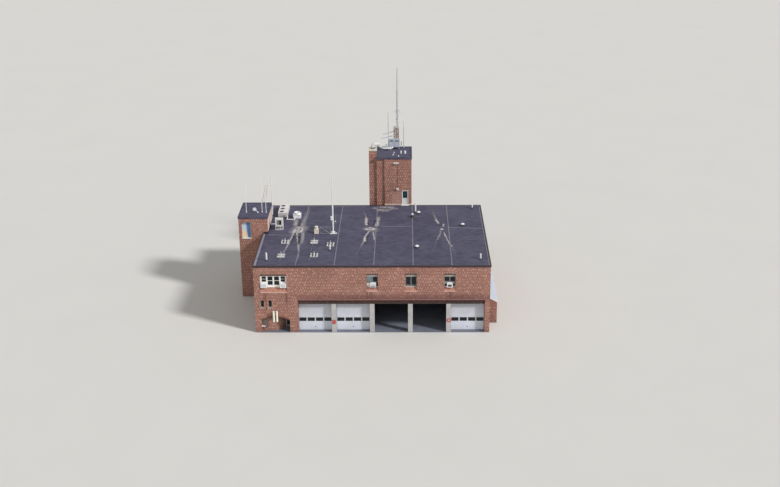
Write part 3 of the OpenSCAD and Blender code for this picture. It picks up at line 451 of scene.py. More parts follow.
# dark teal pane: a painted reflection of the green that it faces
tealPane = makeGlass("dark teal door glass", "#2D4A52", "#1B2D33")
# the floor inside the bays is darker blue-grey: painted shade
ownFinish = {"equipment_cabinet": cabinetBlue, "roof_condensers": unitWhite, "ground_slab": paintedShadeFloor,
             "chimney_cap": whiteCap, "lattice_mast": mastSteel, "roof_vents": whiteTube,
             "front_window_frames": windowGrey, "tower_aerials": aerialTube}
for row in frame["record"]["subparts"]:
    cadNode = nodes[row["node"]]
    coat = ownFinish.get(row["node"], finishes[row["material_slot"]])
    if cadNode.data.materials:
        for index in range(len(cadNode.data.materials)):
            cadNode.data.materials[index] = coat
    else:
        cadNode.data.materials.append(coat)
print("finishes laid on the CAD nodes")


# camera, at the photograph's place and angle

lens = {"place": (16.7723, -112.7571, 55.8898), "yaw": -0.015502, "down": 0.381251, "roll": -0.007963,
        "focal": 1124.48, "frameWidth": 780, "sensor": 36.0}
look = Vector((math.sin(lens["yaw"]) * math.cos(lens["down"]), math.cos(lens["yaw"]) * math.cos(lens["down"]),
               -math.sin(lens["down"])))
level = Vector((math.cos(lens["yaw"]), -math.sin(lens["yaw"]), 0.0))
upright = level.cross(look)
right = math.cos(lens["roll"]) * level + math.sin(lens["roll"]) * upright
above = math.cos(lens["roll"]) * upright - math.sin(lens["roll"]) * level
cameraData = bpy.data.cameras.new("photograph camera")
cameraData.sensor_width = lens["sensor"]
cameraData.sensor_fit = "HORIZONTAL"
cameraData.lens = lens["sensor"] * lens["focal"] / lens["frameWidth"]
cameraData.clip_end = 3000.0
camera = bpy.data.objects.new("photograph camera", cameraData)
bpy.context.scene.collection.objects.link(camera)
facing = Matrix((right, above, -look)).transposed().to_4x4()
camera.matrix_world = Matrix.Translation(Vector(lens["place"]) + corner) @ facing
bpy.context.scene.camera = camera

# light: one soft sun from the right and in front, a weaker one from the left, and an even sky

lamps = {"key": {"towards": (0.88, -0.46, 0.69), "strength": 3.05, "softness": 8.0},
         "fill": {"towards": (-0.30, -0.90, 0.60), "strength": 0.36, "softness": 60.0}}
skyLight = {"strength": 0.38, "seen": "#E4E3E0"}
for name, lamp in lamps.items():
    sun = bpy.data.lights.new(name + " sun", "SUN")
    sun.energy = lamp["strength"]
    sun.angle = math.radians(lamp["softness"])
    holder = bpy.data.objects.new(name + " sun", sun)
    holder.rotation_euler = Vector(lamp["towards"]).to_track_quat("Z", "Y").to_euler()
    bpy.context.scene.collection.objects.link(holder)
sky = bpy.data.worlds.new("even sky")
sky.use_nodes = True
skyTree = sky.node_tree
skyTree.nodes.clear()
rays = addNode(skyTree, "LightPath").node.outputs
seen = worked(skyTree, rays["Is Camera Ray"], ("MAXIMUM", rays["Is Transmission Ray"]),
              ("MAXIMUM", rays["Is Glossy Ray"]))
dome = addNode(skyTree, "Background", ((1, 1, 1, 1), skyLight["strength"]))
backdrop = addNode(skyTree, "Background", (skyLight["seen"], 1.0))
addNode(skyTree, "OutputWorld", (addNode(skyTree, "MixShader", (seen, dome, backdrop)),))
bpy.context.scene.world = sky
bpy.context.scene.view_settings.view_transform = "Standard"


# helpers for modelling in metres from the building's front-left ground corner

sharpest = {"bevel": 40, "tube": 35, "bend": 40}  # degrees past which an edge is bevelled or stays sharp
lean = 0.0005  # how far the sides of a pressed panel lean in


def around(middle, half):
    return middle - half, middle + half


def facesFront(normal):
    return normal.y < -0.9


def alone(piece=None):
    bpy.ops.object.select_all(action="DESELECT")
    if piece is not None:
        piece.select_set(True)
        bpy.context.view_layer.objects.active = piece


def settled(piece, name):
    # the place goes into the mesh and the object stays at the origin
    alone(piece)
    bpy.ops.object.transform_apply(location=True, rotation=True, scale=True)
    piece.name = piece.data.name = name
    return piece


def modified(piece, kind, **settings):
    alone(piece)
    step = piece.modifiers.new(kind.lower(), kind)
    for key, value in settings.items():
        setattr(step, key, value)
    bpy.ops.object.modifier_apply(modifier=step.name)
    return piece


def softened(piece, edge):
    return modified(piece, "BEVEL", width=edge, segments=1, limit_method="ANGLE",
                    angle_limit=math.radians(sharpest["bevel"]))


def smoothed(piece, angle):
    alone(piece)
    bpy.ops.object.shade_smooth_by_angle(angle=math.radians(angle))
    return piece


def primitive(make, name, place, **shape):
    # one of Blender's own shapes, with its middle at the place
    alone()
    make(location=Vector(place) + corner, **shape)
    return settled(bpy.context.object, name)


def box(name, x, y, z, edge=0.004):
    # block from its low and high places along each axis
    piece = primitive(bpy.ops.mesh.primitive_cube_add, name, (sum(x) / 2, sum(y) / 2, sum(z) / 2), size=1,
                      scale=(x[1] - x[0], y[1] - y[0], z[1] - z[0]))
    return softened(piece, edge) if edge else piece


def tube(name, start, end, radius, sides=16, edge=0.004):
    # round bar between two places
    run = Vector(end) - Vector(start)
    piece = primitive(bpy.ops.mesh.primitive_cylinder_add, name, (Vector(start) + Vector(end)) / 2,
                      vertices=sides, radius=radius, depth=run.length,
                      rotation=run.to_track_quat("Z", "Y").to_euler())
    if edge:
        softened(piece, min(edge, radius * 0.4))
    return smoothed(piece, sharpest["tube"]) if sides > 6 else piece


def picked(piece, wanted):
    # edit mode with only the wanted faces selected; wanted reads a face's normal
    alone(piece)
    bpy.ops.object.mode_set(mode="EDIT")
    bpy.ops.mesh.select_mode(type="FACE")
    bpy.ops.mesh.select_all(action="DESELECT")
    shape = bmesh.from_edit_mesh(piece.data)
    for side in shape.faces:
        if wanted(side.normal):
            side.select_set(True)
    bmesh.update_edit_mesh(piece.data)


def pressed(piece, rim, depth, wanted=facesFront):
    # frame of rim width round each wanted face, with the rest pushed in by depth
    picked(piece, wanted)
    bpy.ops.mesh.inset(thickness=rim, depth=0.0, use_individual=True)
    bpy.ops.mesh.inset(thickness=lean, depth=-depth, use_individual=True)
    bpy.ops.object.mode_set(mode="OBJECT")
    return piece


def framed(name, x, y, z, rim, through="y"):
    # block with a hole right through it that leaves a rim all round
    piece = box(name, x, y, z, 0)
    picked(piece, lambda normal: abs(getattr(normal, through)) > 0.9)
    bpy.ops.mesh.inset(thickness=rim, use_individual=True)
    bpy.ops.mesh.bridge_edge_loops()
    bpy.ops.object.mode_set(mode="OBJECT")
    return softened(piece, 0.003)


def shifted(piece, step):
    piece.data.transform(Matrix.Translation(step))
    return piece


def turned(piece, angle, axis, centre=(0, 0, 0)):
    # turned about an axis through a place in the building's metres
    pivot = Matrix.Translation(Vector(centre) + corner)
    piece.data.transform(pivot @ Matrix.Rotation(math.radians(angle), 4, axis) @ pivot.inverted())
    return piece


def copied(piece, name, shift=(0, 0, 0)):
    twin = piece.copy()
    twin.data = piece.data.copy()
    twin.name = twin.data.name = name
    bpy.context.scene.collection.objects.link(twin)
    return shifted(twin, shift)


def rowed(piece, count, step):
    return modified(piece, "ARRAY", count=count, use_relative_offset=False, use_constant_offset=True,
                    constant_offset_displace=step)


mainSize = (wallHigh.x - wallLow.x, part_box("rear_wall")[1].y - wallLow.y)
wallPlaces = {"front": lambda along: ((along, 0.0), 0), "right": lambda along: ((mainSize[0], along), 90),
              "rear": lambda along: ((along, mainSize[1]), 180), "left": lambda along: ((0.0, along), -90)}


def onWall(piece, name, side, along):
    # copy of a piece modelled for a wall that faces the front, with its middle at the corner
    place, turn = wallPlaces[side](along)
    return shifted(turned(copied(piece, name), turn, "Z"), (*place, 0))


def dropped(parts):
    # patterns that were only copied from
    for part in parts:
        bpy.data.objects.remove(part, do_unlink=True)


def merged(name, parts):
    alone(parts[0])
    for part in parts:
        part.select_set(True)
    if len(parts) > 1:
        bpy.ops.object.join()
    whole = bpy.context.view_layer.objects.active
    whole.name = whole.data.name = name
    return whole


def finished(name, parts, slotName, coat=None, body="building", stands=None):
    # the parts as one piece, in the slot's own finish unless it has another coat
    piece = merged(name, parts)
    piece.data.materials.clear()
    piece.data.materials.append(coat or finishes[slotName])
    for side in piece.data.polygons:
        side.material_index = 0
    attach(piece, body)
    if stands:
        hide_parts(stands)
    return piece


# floor that the building stands on
alone()
bpy.ops.mesh.primitive_circle_add(vertices=96, radius=1400.0, fill_type="NGON", location=(0, 0, -0.002))
ground = settled(bpy.context.object, "studio floor")
ground.data.materials.append(makePaint("matt floor paint", "#D6D4D0", "#CFCDC9", 0.9, dirtShare=0.3, lump=9.0,
                                       fine=0.4))
print("camera, lamps and floor set")


# windows: sloped sills of rowlock bricks, steel lintel edges and sliding sashes
# A bar is half its width, then its depth and its height; a light is its left, width and low place.

windowWork = {"width": 1.27, "low": 5.03, "rise": 0.45, "reveal": 0.22, "head": 7.13, "headPanel": 0.23,
              "foot": 0.20, "cooledFoot": 0.62, "frame": 0.05, "lowerStorey": -3.93, "pitch": 0.0677,
              "joint": 0.010, "proud": 0.014, "sashRim": 0.036, "glassFace": 0.26,
              "front": [13.05, 17.30, 21.55], "right": [4.6, 10.8, 15.8], "left": [2.6, 6.3, 17.0],
              "rear": [3.2, 8.2, 20.2, 23.6], "panel": (0.62, (0.212, 0.222), (6.95, 7.12)),
              "rail": (0.60, (0.200, 0.212), (6.69, 6.92)), "nosing": (0.63, (-0.030, 0.002), (4.985, 5.045)),
              "blind": ((12.47, 13.02), (0.250, 0.257), (6.11, 6.89))}
groupWork = {"middle": 2.17, "width": 2.94, "low": 4.90, "rise": 0.56, "top": 6.75, "sashRim": 0.022,
             "lights": [(-1.31, 0.52, 6.07), (-0.66, 0.59, 5.69), (0.06, 0.59, 5.69), (0.79, 0.52, 6.07)],
             "endBar": ((0.225, 0.258), (6.40, 6.43)), "stool": (1.46, (0.16, 0.225), (5.465, 5.50)),
             "panel": (1.46, (0.212, 0.222), (6.80, 7.045)),
             "nosing": (1.47, (-0.030, 0.002), (4.855, 4.915))}
smallWork = {"middles": [0.835, 1.690], "half": 0.20, "low": 3.06, "top": 3.94, "gap": 0.03, "sashRim": 0.022,
             "sill": (0.22, (-0.03, 0.225), (3.02, 3.064))}


def slopedSill(width, low, rise, rows):
    # bricks laid flat in rows, then tipped up to the slope
    length = math.hypot(rise, windowWork["reveal"])
    count = round(width / windowWork["pitch"])
    pitch, step, joint = width / count, length / rows, windowWork["joint"]
    brick = box("sill", (-width / 2 + joint / 2, -width / 2 + pitch - joint / 2), (0.0, step - joint),
                (-0.02, windowWork["proud"]))
    rowed(rowed(brick, count, (pitch, 0, 0)), rows, (0, step, 0))
    return shifted(turned(brick, math.degrees(math.atan2(rise, windowWork["reveal"])), "X"), (0, 0, low))


def sash(x, low, top, halves, rim):
    # one light: a single sash, or an upper one in front and a lower one just behind it
    pane = windowWork["glassFace"]
    if halves == 1:
        return framed("sash", x, (pane - 0.03, pane - 0.002), (low, top), rim)
    meeting = (low + top) / 2
    return merged("sash", [framed("upper", x, (pane - 0.034, pane - 0.012), (meeting - 0.02, top), rim),
                           framed("lower", x, (pane - 0.02, pane - 0.002), (low, meeting + 0.02), rim)])


def bar(middle, work, edge=0.004):
    half, y, z = work
    return box("bar", around(middle, half), y, z, edge)


halfWide = windowWork["width"] / 2
lightWide = halfWide - 1.5 * windowWork["frame"]
lightTop = windowWork["head"] - windowWork["headPanel"]
sillTop = windowWork["low"] + windowWork["rise"]


def twoLights(foot, halves):
    # both lights of a single window, from foot above its sill
    lefts = (-halfWide + windowWork["frame"], windowWork["frame"] / 2)
    return merged("lights", [sash((left, left + lightWide), sillTop + foot, lightTop, halves,
                                  windowWork["sashRim"]) for left in lefts])


patterns = {"sill": slopedSill(windowWork["width"], windowWork["low"], windowWork["rise"], 2),
            "sashes": twoLights(windowWork["foot"], 2), "cooled": twoLights(windowWork["cooledFoot"], 1),
            "slider": twoLights(windowWork["foot"], 1),
            "stool": bar(0, (halfWide, (0.17, 0.225), (sillTop + 0.002, sillTop + 0.035))),
            "lintel": bar(0, (halfWide, (0.004, 0.22),
                              (windowWork["head"] - 0.012, windowWork["head"] - 0.001)),
                          0.002)}
sidePlaces = [(side, along, 0) for side in ("right", "left") for along in windowWork[side]]
sidePlaces += [("rear", along, drop) for along in windowWork["rear"]
               for drop in (0, windowWork["lowerStorey"])]
frontPlaces = [("front", along, 0) for along in windowWork["front"]]
# the sill bricks are lighter and warmer: painted sunlight on their sloping tops
windowRows = [("front_sill_bricks", "sill", frontPlaces, "brick", sunPaintedSillBrick),
              ("side_sill_bricks", "sill", sidePlaces, "brick", sunPaintedSillBrick),
              ("side_window_sashes", "sashes", sidePlaces, "white_metal", whiteMetal),
              ("window_stools", "stool", sidePlaces + frontPlaces, "white_metal", whiteMetal),
              ("window_lintel_edges", "lintel", sidePlaces + frontPlaces, "trim", darkSteel)]
for name, pattern, places, slotName, coat in windowRows:
    parts = [shifted(onWall(patterns[pattern], "part", side, along), (0, 0, drop))
             for side, along, drop in places]
    if name == "front_sill_bricks":
        parts.append(shifted(slopedSill(groupWork["width"], groupWork["low"], groupWork["rise"], 3),
                             (groupWork["middle"], 0, 0)))
    finished(name, parts, slotName, coat)
frontSashes = [onWall(patterns[pattern], "part", "front", along)
               for pattern, along in zip(("cooled", "slider", "cooled"), windowWork["front"])]
for place, wide, low in groupWork["lights"]:
    start = groupWork["middle"] + place
    frontSashes.append(sash((start, start + wide), low, groupWork["top"], 2 if low < 6 else 1,
                            groupWork["sashRim"]))
    if low > 6:  # bar across each end light
        frontSashes.append(box("bar", (start, start + wide), *groupWork["endBar"]))
frontSashes.append(bar(groupWork["middle"], groupWork["stool"]))
finished("front_window_sashes", frontSashes, "white_metal", windowGrey)
dropped(patterns.values())
# the head panels are dark red-brown: painted shade under each reveal's head
for name, key, edge, slotName, coat in (("window_head_panels", "panel", 0.004, "trim", brownAndPaintedShade),
                                        ("sill_nosings", "nosing", 0.006, "brick", paleEdge)):
    parts = [bar(groupWork["middle"], groupWork[key], edge)]
    parts += [bar(middle, windowWork[key], edge) for middle in windowWork["front"]]
    finished(name, parts, slotName, coat)
finished("window_head_rails", [bar(middle, windowWork["rail"]) for middle in windowWork["front"]],
         "white_metal", headRail)
# the left pane of the first window carries a painted sky reflection
finished("left_window_blind", [pressed(box("blind", *windowWork["blind"], 0.001), 0.02, 0.001)], "glass",
         paintedSkyGlass)
smallBars = [sash(around(middle, smallWork["half"] - smallWork["gap"]), smallWork["low"] + smallWork["gap"],
                  smallWork["top"] - smallWork["gap"], 2, smallWork["sashRim"])
             for middle in smallWork["middles"]]
finished("small_window_sashes", smallBars, "trim", darkSteel)
finished("small_window_sills", [bar(middle, smallWork["sill"], 0.006) for middle in smallWork["middles"]],
         "concrete", finishes["pier_concrete"])
print("window sills, lintels and sashes built")


# window coolers: sheet casing with a louvred face over a pale grey coil
# A size is the width, the front and the height, and a place is the middle and the foot.

coolerWork = {"sizes": {"bay": (0.62, -0.08, 0.52), "group": (0.68, -0.10, 0.48)},
              "places": {"bay": [(13.14, 5.50), (21.54, 5.50)], "group": [(1.10, 5.48), (3.24, 5.48)]},
              "back": 0.215, "rim": 0.05, "slat": 0.024, "ribs": 4, "rib": 0.04, "arm": 0.012,
              "hatch": ((21.31, 21.77), (-0.088, -0.078), (5.57, 5.87)),
              "fins": ((21.33, 21.75), (-0.084, -0.076), (5.59, 5.85)),
              "lowGrille": ((12.87, 13.41), (-0.087, -0.078), (5.52, 5.70)),
              "filler": ((12.43, 12.84), (0.162, 0.215), (5.55, 5.93)),
              "fillerRim": ((20.935, 22.165), (0.162, 0.215), (5.545, 5.935)),
              "darkSides": [((20.96, 22.14), (0.18, 0.21), (5.57, 5.91)),
                            ((13.46, 13.67), (0.205, 0.219), (5.53, 6.06))]}


def cooler(width, front, height):
    half, rim = width / 2, coolerWork["rim"]
    opening = around(0, half - rim)
    casing = box("casing", around(0, half), (front, coolerWork["back"]), (0, height), 0.012)
    slat = box("slat", opening, (front + 0.002, front + 0.019), (0.055, 0.068), 0.003)
    rowed(slat, int((height - 2 * rim) / coolerWork["slat"]), (0, 0, coolerWork["slat"]))
    rib = box("rib", opening, (front + 0.05, front + 0.058), (height - 0.004, height + 0.006), 0.002)
    rowed(rib, coolerWork["ribs"], (0, coolerWork["rib"], 0))
    coil = box("coil", opening, (front + 0.019, front + 0.024), (rim, height - rim), 0.002)
    arms = [tube("arm", (x, 0.0, -0.20), (x, front + 0.02, -0.01), coolerWork["arm"], 8)
            for x in around(0, half - 0.08)]
    return merged("casing", [pressed(casing, rim, 0.022), slat, rib]), coil, merged("bracket", arms)


casings, coils, brackets = [], [], []
for kind, size in coolerWork["sizes"].items():
    parts = cooler(*size)
    for x, z in coolerWork["places"][kind]:
        for group, part in zip((casings, coils, brackets), parts):
            group.append(copied(part, "copy", (x, 0, z)))
    dropped(parts)
finished("cooler_casings", casings, "white_plastic", stands="air_conditioners")
finished("cooler_coils", coils, "galvanised", paleGrille)
finished("cooler_brackets", brackets, "galvanised")
finished("cooler_hatch", [framed("hatch", *coolerWork["hatch"], 0.025)], "white_plastic")
finished("cooler_dark_fins", [box("fins", *coolerWork["fins"], 0.002)], "trim", darkGrille)
finished("cooler_low_grille", [pressed(box("grille", *coolerWork["lowGrille"], 0.002), 0.02, 0.003)],
         "galvanised", paleGrille)
fillers = [box("filler", *coolerWork["filler"]), framed("filler rim", *coolerWork["fillerRim"], 0.035)]
finished("cooler_fillers", fillers, "white_metal", stands="air_conditioners")
# dark glass beside two coolers: partly dark pane, partly painted shade in the gap at the cooler's side
finished("cooler_dark_sides", [box("side", *place, 0.002) for place in coolerWork["darkSides"]], "glass")
print("window coolers built")


# overhead doors: rims round the lights, pressed ribs, seals and a lifting handle

doorWork = {"start": 4.76, "pitch": 4.24, "clear": 3.72, "lap": 0.05, "face": 0.55, "foot": 0.05,
            "section": 0.533, "sections": 7, "lightSection": 2, "light": (0.82, 0.46), "lightRim": 0.022,
            "closed": [0, 1, 4], "ribs": (0.3, 0.7), "ribHalf": 0.035, "ribProud": 0.005, "stileHalf": 0.035,
            "raisedBack": 0.44, "raisedTop": 3.90}
jambWork = {"wide": 0.028, "y": (0.535, 0.5495), "z": (0.05, 3.44), "head": (3.41, 3.445)}
ledgeWork = {"plate": ((4.78, 25.42), (0.135, 0.50), (3.438, 3.4495)), "count": 305, "pitch": 0.0677,
             "brick": ((4.765, 4.823), (-0.012, 0.125), (3.935, 3.99)),
             "cap": ((4.765, 25.41), (-0.016, 0.02), (3.992, 4.04))}
doorWide = doorWork["clear"] + 2 * doorWork["lap"]
doorTop = doorWork["sections"] * doorWork["section"] - 0.02
lightWidth, lightHeight = doorWork["light"]
lightGap = (doorWide - 4 * lightWidth) / 5
lightMiddle = (doorWork["lightSection"] + 0.5) * doorWork["section"]
trimParts = []
for k in range(4):
    left = lightGap + k * (lightWidth + lightGap)
    rim = framed("rim", (left - doorWork["lightRim"], left + lightWidth + doorWork["lightRim"]),
                 (-0.008, 0.004), around(lightMiddle, lightHeight / 2 + doorWork["lightRim"]), 0.028)
    trimParts += [rim, copied(rim, "rim", (0, 0.053, 0))]
for section in range(doorWork["sections"]):
    for share in doorWork["ribs"] if section != doorWork["lightSection"] else ():
        trimParts.append(box("rib", (0.06, doorWide - 0.06), (-doorWork["ribProud"], 0.002),
                             around((section + share) * doorWork["section"], doorWork["ribHalf"])))
for x in (doorWork["stileHalf"], doorWide / 2, doorWide - doorWork["stileHalf"]):
    trimParts.append(box("stile", around(x, doorWork["stileHalf"]), (0.043, 0.052), (0.02, doorTop)))
trimParts.append(box("stile", around(doorWide / 2, 0.012), (-0.007, 0.002),
                     (3 * doorWork["section"], doorTop)))
sealParts = [box("seal", (0.0, doorWide), (-0.004, 0.049), (-0.002, 0.035)),
             framed("handle", around(doorWide / 2, 0.08), (-0.035, -0.012), (0.40, 0.44), 0.010, "z")]
sealParts += [box("foot", around(x, 0.012), (-0.014, 0.001), (0.395, 0.445))
              for x in around(doorWide / 2, 0.07)]
doorTrim, doorSeal = merged("door trim", trimParts), merged("door seal", sealParts)
for bay in range(5):
    left = doorWork["start"] + bay * doorWork["pitch"] - doorWork["lap"]
    for pattern, word, slotName, coat in ((doorTrim, "ribs", "door_paint", None),
                                          (doorSeal, "seal", "trim", blackRubber)):
        piece = copied(pattern, word)
        if bay in doorWork["closed"]:
            shifted(piece, (left, doorWork["face"], doorWork["foot"]))
        else:
            place = (left, doorWork["face"] + doorWork["raisedBack"], doorWork["raisedTop"])
            shifted(turned(piece, -90, "X"), place)
        finished(f"bay_door_{bay + 1}_{word}", [piece], slotName, coat)
dropped([doorTrim, doorSeal])
jambSeals = []
for bay in doorWork["closed"]:
    left = doorWork["start"] + bay * doorWork["pitch"]
    ends = (left, left + doorWork["clear"])
    for x in (left, ends[1] - jambWork["wide"]):
        jambSeals.append(box("jamb", (x, x + jambWork["wide"]), jambWork["y"], jambWork["z"], 0.005))
    jambSeals.append(box("jamb", ends, jambWork["y"], jambWork["head"], 0.005))
finished("bay_door_jamb_seals", jambSeals, "trim", blackRubber)
finished("bay_lintel_plate", [box("plate", *ledgeWork["plate"], 0.003)], "trim", darkSteel)
ledge = rowed(box("ledge", *ledgeWork["brick"]), ledgeWork["count"], (ledgeWork["pitch"], 0, 0))
finished("ledge_bricks", [ledge], "brick", looseBrick)
finished("ledge_cap", [box("cap", *ledgeWork["cap"], 0.006)], "brick", lapMortar)

plateWork = {"square": ((8.53, 8.93), (0.0, 0.021), (1.04, 1.54)), "round": (21.49, 1.49), "radius": 0.25,
             "ringRim": 0.135, "discRadius": 0.11}
x, z = plateWork["round"]
square = pressed(box("plate", *plateWork["square"]), 0.035, 0.004)
ring = pressed(tube("ring", (x, 0.0, z), (x, 0.021, z), plateWork["radius"], 48), plateWork["ringRim"], 0.006)
disc = pressed(tube("disc", (x, 0.003, z), (x, 0.012, z), plateWork["discRadius"], 40), 0.02, 0.002)
finished("pier_plates", [square, ring], "white_metal", redEnamel)
finished("pier_plate_middle", [disc], "white_metal", paleFlashing)
print("overhead door fittings and pier plates built")


# entrance: ring of bricks on edge round the arch, lantern tubes, letter box, glazed door

archWork = {"middle": 2.23, "half": 1.60, "crown": 1.96, "rise": 0.42, "brick": 0.203, "pitch": 0.0677,
            "joint": 0.010}
archRadius = (archWork["half"] ** 2 + archWork["rise"] ** 2) / (2 * archWork["rise"])
archCentre = (archWork["middle"], 0.0, archWork["crown"] - archRadius)
turnEach = math.degrees(archWork["pitch"] / (archRadius + 0.06))
eachSide = int(math.degrees(math.asin(archWork["half"] / archRadius)) / turnEach)
brickHalf = archWork["pitch"] / 2 - archWork["joint"] / 2
# the dark angle under the arch ring is partly steel lintel, partly painted shade that the arch casts on the
# wall behind
archRows = [("arch_ring_bricks", brickHalf, (-0.012, 0.35), (-0.004, archWork["brick"]), 0.004, "brick",
             looseBrick),
            ("arch_lintel_angle", 0.05, (0.012, 0.03), (-0.10, -0.006), 0, "trim", darkSteel)]
for name, half, y, (low, high), edge, slotName, coat in archRows:
    pattern = box("arch", around(archWork["middle"], half), y,
                  (archWork["crown"] + low, archWork["crown"] + high), edge)
    parts = [turned(copied(pattern, "arch"), k * turnEach, "Y", archCentre)
             for k in range(-eachSide, eachSide + 1)]
    dropped([pattern])
    finished(name, parts, slotName, coat)

lanternWork = {"places": [2.08, 2.44], "out": -0.28, "low": 1.46, "top": 2.76, "radius": 0.12,
               "caps": [(1.46, 1.52), (2.70, 2.76), (2.09, 2.12)], "brackets": (2.30, 2.60)}
tubes, caps = [], []
for x in lanternWork["places"]:
    y = lanternWork["out"]
    tubes.append(tube("lantern", (x, y, lanternWork["low"] + 0.05), (x, y, lanternWork["top"] - 0.05),
                      lanternWork["radius"] - 0.008, 40, 0.008))
    for low, high in lanternWork["caps"]:
        caps.append(tube("cap", (x, y, low), (x, y, high), lanternWork["radius"], 40, 0.012))
    for z in lanternWork["brackets"]:
        caps.append(box("arm", around(x, 0.02), (y + 0.09, 0.0), (z, z + 0.05), 0.006))
        caps.append(box("wall plate", around(x, 0.05), (-0.012, 0.0), (z - 0.03, z + 0.08)))
finished("lantern_tubes", tubes, "white_plastic", lampGlass, stands="porch_lanterns")
finished("lantern_caps", caps, "white_metal", stands="porch_lanterns")

porchWork = {"panel": ((0.725, 1.235), (0.40, 0.412), (0.57, 1.49)),
             "letterBox": ((0.642, 1.088), (0.212, 0.349), (0.602, 0.778)),
             "flap": ((0.69, 1.04), (0.200, 0.214), (0.70, 0.755)), "conduit": 1.28, "conduitRadius": 0.016,
             "conduitOut": -0.02, "conduitZ": (4.89, 2.98),
             "junction": ((1.22, 1.34), (-0.05, 0.0), (2.86, 3.0))}
letterParts = [pressed(box("letter box", *porchWork["letterBox"], 0.012), 0.02, 0.004),
               box("flap", *porchWork["flap"], 0.005)]
finished("letter_box", letterParts, "white_metal", stands="porch_side_panel")
finished("porch_panel", [pressed(box("panel", *porchWork["panel"]), 0.05, 0.006)], "concrete",
         stands="porch_side_panel")
x, radius = porchWork["conduit"], porchWork["conduitRadius"]
y = porchWork["conduitOut"]
conduit = [tube("conduit", *((x, y, z) for z in porchWork["conduitZ"]), radius),
           box("junction", *porchWork["junction"], 0.006),
           tube("conduit", (x, y, 4.88), (x, 0.10, 4.95), radius)]
# the conduit is dark red-brown: its own dark with painted shade beside it
finished("front_conduit", conduit, "galvanised", brownAndPaintedShade)

# x and z are the outer edge of the beads round the pane; the fittings are low and high places
leafWork = {"x": (3.40, 4.04), "z": (0.31, 2.02), "panes": (1.5195, 1.5405), "lap": 0.02,
            "beads": [(1.511, 1.5245), (1.5405, 1.554)], "rails": [(1.512, 1.5245), (1.5405, 1.553)],
            "railHeight": (1.02, 1.08), "kick": ((3.31, 4.13), (1.507, 1.5105), (0.08, 0.285)),
            "closer": ((3.78, 4.08), (1.5545, 1.60), (2.06, 2.115)),
            "push": ((3.36, 1.585, 1.05), (4.05, 1.585, 1.05)),
            "pushEnds": [(3.35, 3.39), (4.02, 4.06)],
            "transom": ((3.305, 4.135), (1.46, 1.50), (2.195, 2.325)),
            "transomGlass": ((3.31, 4.13), (1.475, 1.485), (2.20, 2.32))}


def within(ends, gap):
    return ends[0] + gap, ends[1] - gap


panes = [box("pane", within(leafWork["x"], leafWork["lap"]), (y, y + 0.004),
             within(leafWork["z"], leafWork["lap"]), 0.001) for y in leafWork["panes"]]
finished("entrance_door_panes", panes, "glass", body="entrance_door")
beads = [framed("bead", leafWork["x"], y, leafWork["z"], 0.03) for y in leafWork["beads"]]
beads += [box("rail", within(leafWork["x"], 0.01), y, leafWork["railHeight"]) for y in leafWork["rails"]]
finished("entrance_door_beads", beads, "door_glass", body="entrance_door")
fittings = [box("kick", *leafWork["kick"], 0.001), box("closer", *leafWork["closer"], 0.006),
            tube("push bar", *leafWork["push"], 0.014)]
fittings += [box("bar end", x, leafWork["closer"][1], leafWork["railHeight"]) for x in leafWork["pushEnds"]]
finished("entrance_door_plates", fittings, "galvanised", body="entrance_door")
finished("transom_bead", [framed("bead", *leafWork["transom"], 0.018)], "white_metal")
finished("transom_glass", [pressed(box("pane", *leafWork["transomGlass"], 0.001), 0.02, 0.001)], "glass")
print("entrance built")


# main roof: welded laps, drains, edge cover plates, pipes and the plant

roofLevel = wallHigh.z + 0.2


def onRoof(*heights):
    return tuple(roofLevel + height for height in heights)


def roofPoint(x, y, height):
    return x, y, roofLevel + height


lapWork = {"laps": [4.65, 8.88, 13.22, 17.53, 21.78], "half": 0.05, "y": (0.07, 19.22), "z": (-0.002, 0.006),
           "ends": [((21.78, 25.9), (11.66, 11.23)), ((13.22, 17.53), (12.03, 12.03)),
                    ((0.66, 4.65), (9.35, 9.2))], "endHalf": 0.06, "endHeight": (-0.002, 0.005)}
laps = [box("lap", around(x, lapWork["half"]), lapWork["y"], onRoof(*lapWork["z"]), 0.003)
        for x in lapWork["laps"]]
for (left, right), (start, end) in lapWork["ends"]:
    strip = box("end lap", (left, right), around(start, lapWork["endHalf"]), onRoof(*lapWork["endHeight"]),
                0.003)
    laps.append(turned(strip, math.degrees(math.atan2(end - start, right - left)), "Z", (left, start, 0)))
finished("roof_laps", laps, "roofing", lapSheet)
stripRuns = {"left": [((0.065, 0.30), (0.065, 9.68)), ((0.065, 0.30), (14.56, 19.23))],
             "rest": [((25.80, 25.90), (0.065, 19.23)), ((0.30, 12.15), (19.12, 19.23)),
                      ((17.5, 25.80), (19.12, 19.23))]}
# the left strips are lighter: painted sunlight on the rim
for word, coat in (("left", paintedSunEdge), ("rest", lapSheet)):
    strips = [box("strip", x, y, onRoof(-0.002, 0.008), 0.003) for x, y in stripRuns[word]]
    finished(f"roof_edge_strips_{word}", strips, "roofing", coat)

coverWork = {"step": 3.05, "half": 0.05, "y": (-0.0632, -0.001), "z": (7.928, 8.1032), "endGap": 0.5,
             "lengths": {"front": 26.0, "rear": 26.0, "right": 19.3, "left": 19.3},
             "towers": {"rear": (12.9, 17.7), "left": (9.4, 14.7)}}
coverPattern = box("cover", around(0, coverWork["half"]), coverWork["y"], coverWork["z"])
covers = []
for side, length in coverWork["lengths"].items():
    start, end = coverWork["towers"].get(side, (0, 0))  # where a tower takes the place of the edge
    along = coverWork["step"] / 2
    while along < length - coverWork["endGap"]:
        if not start < along < end:
            covers.append(onWall(coverPattern, "cover", side, along))
        along += coverWork["step"]
dropped([coverPattern])
finished("edge_cover_plates", covers, "trim")

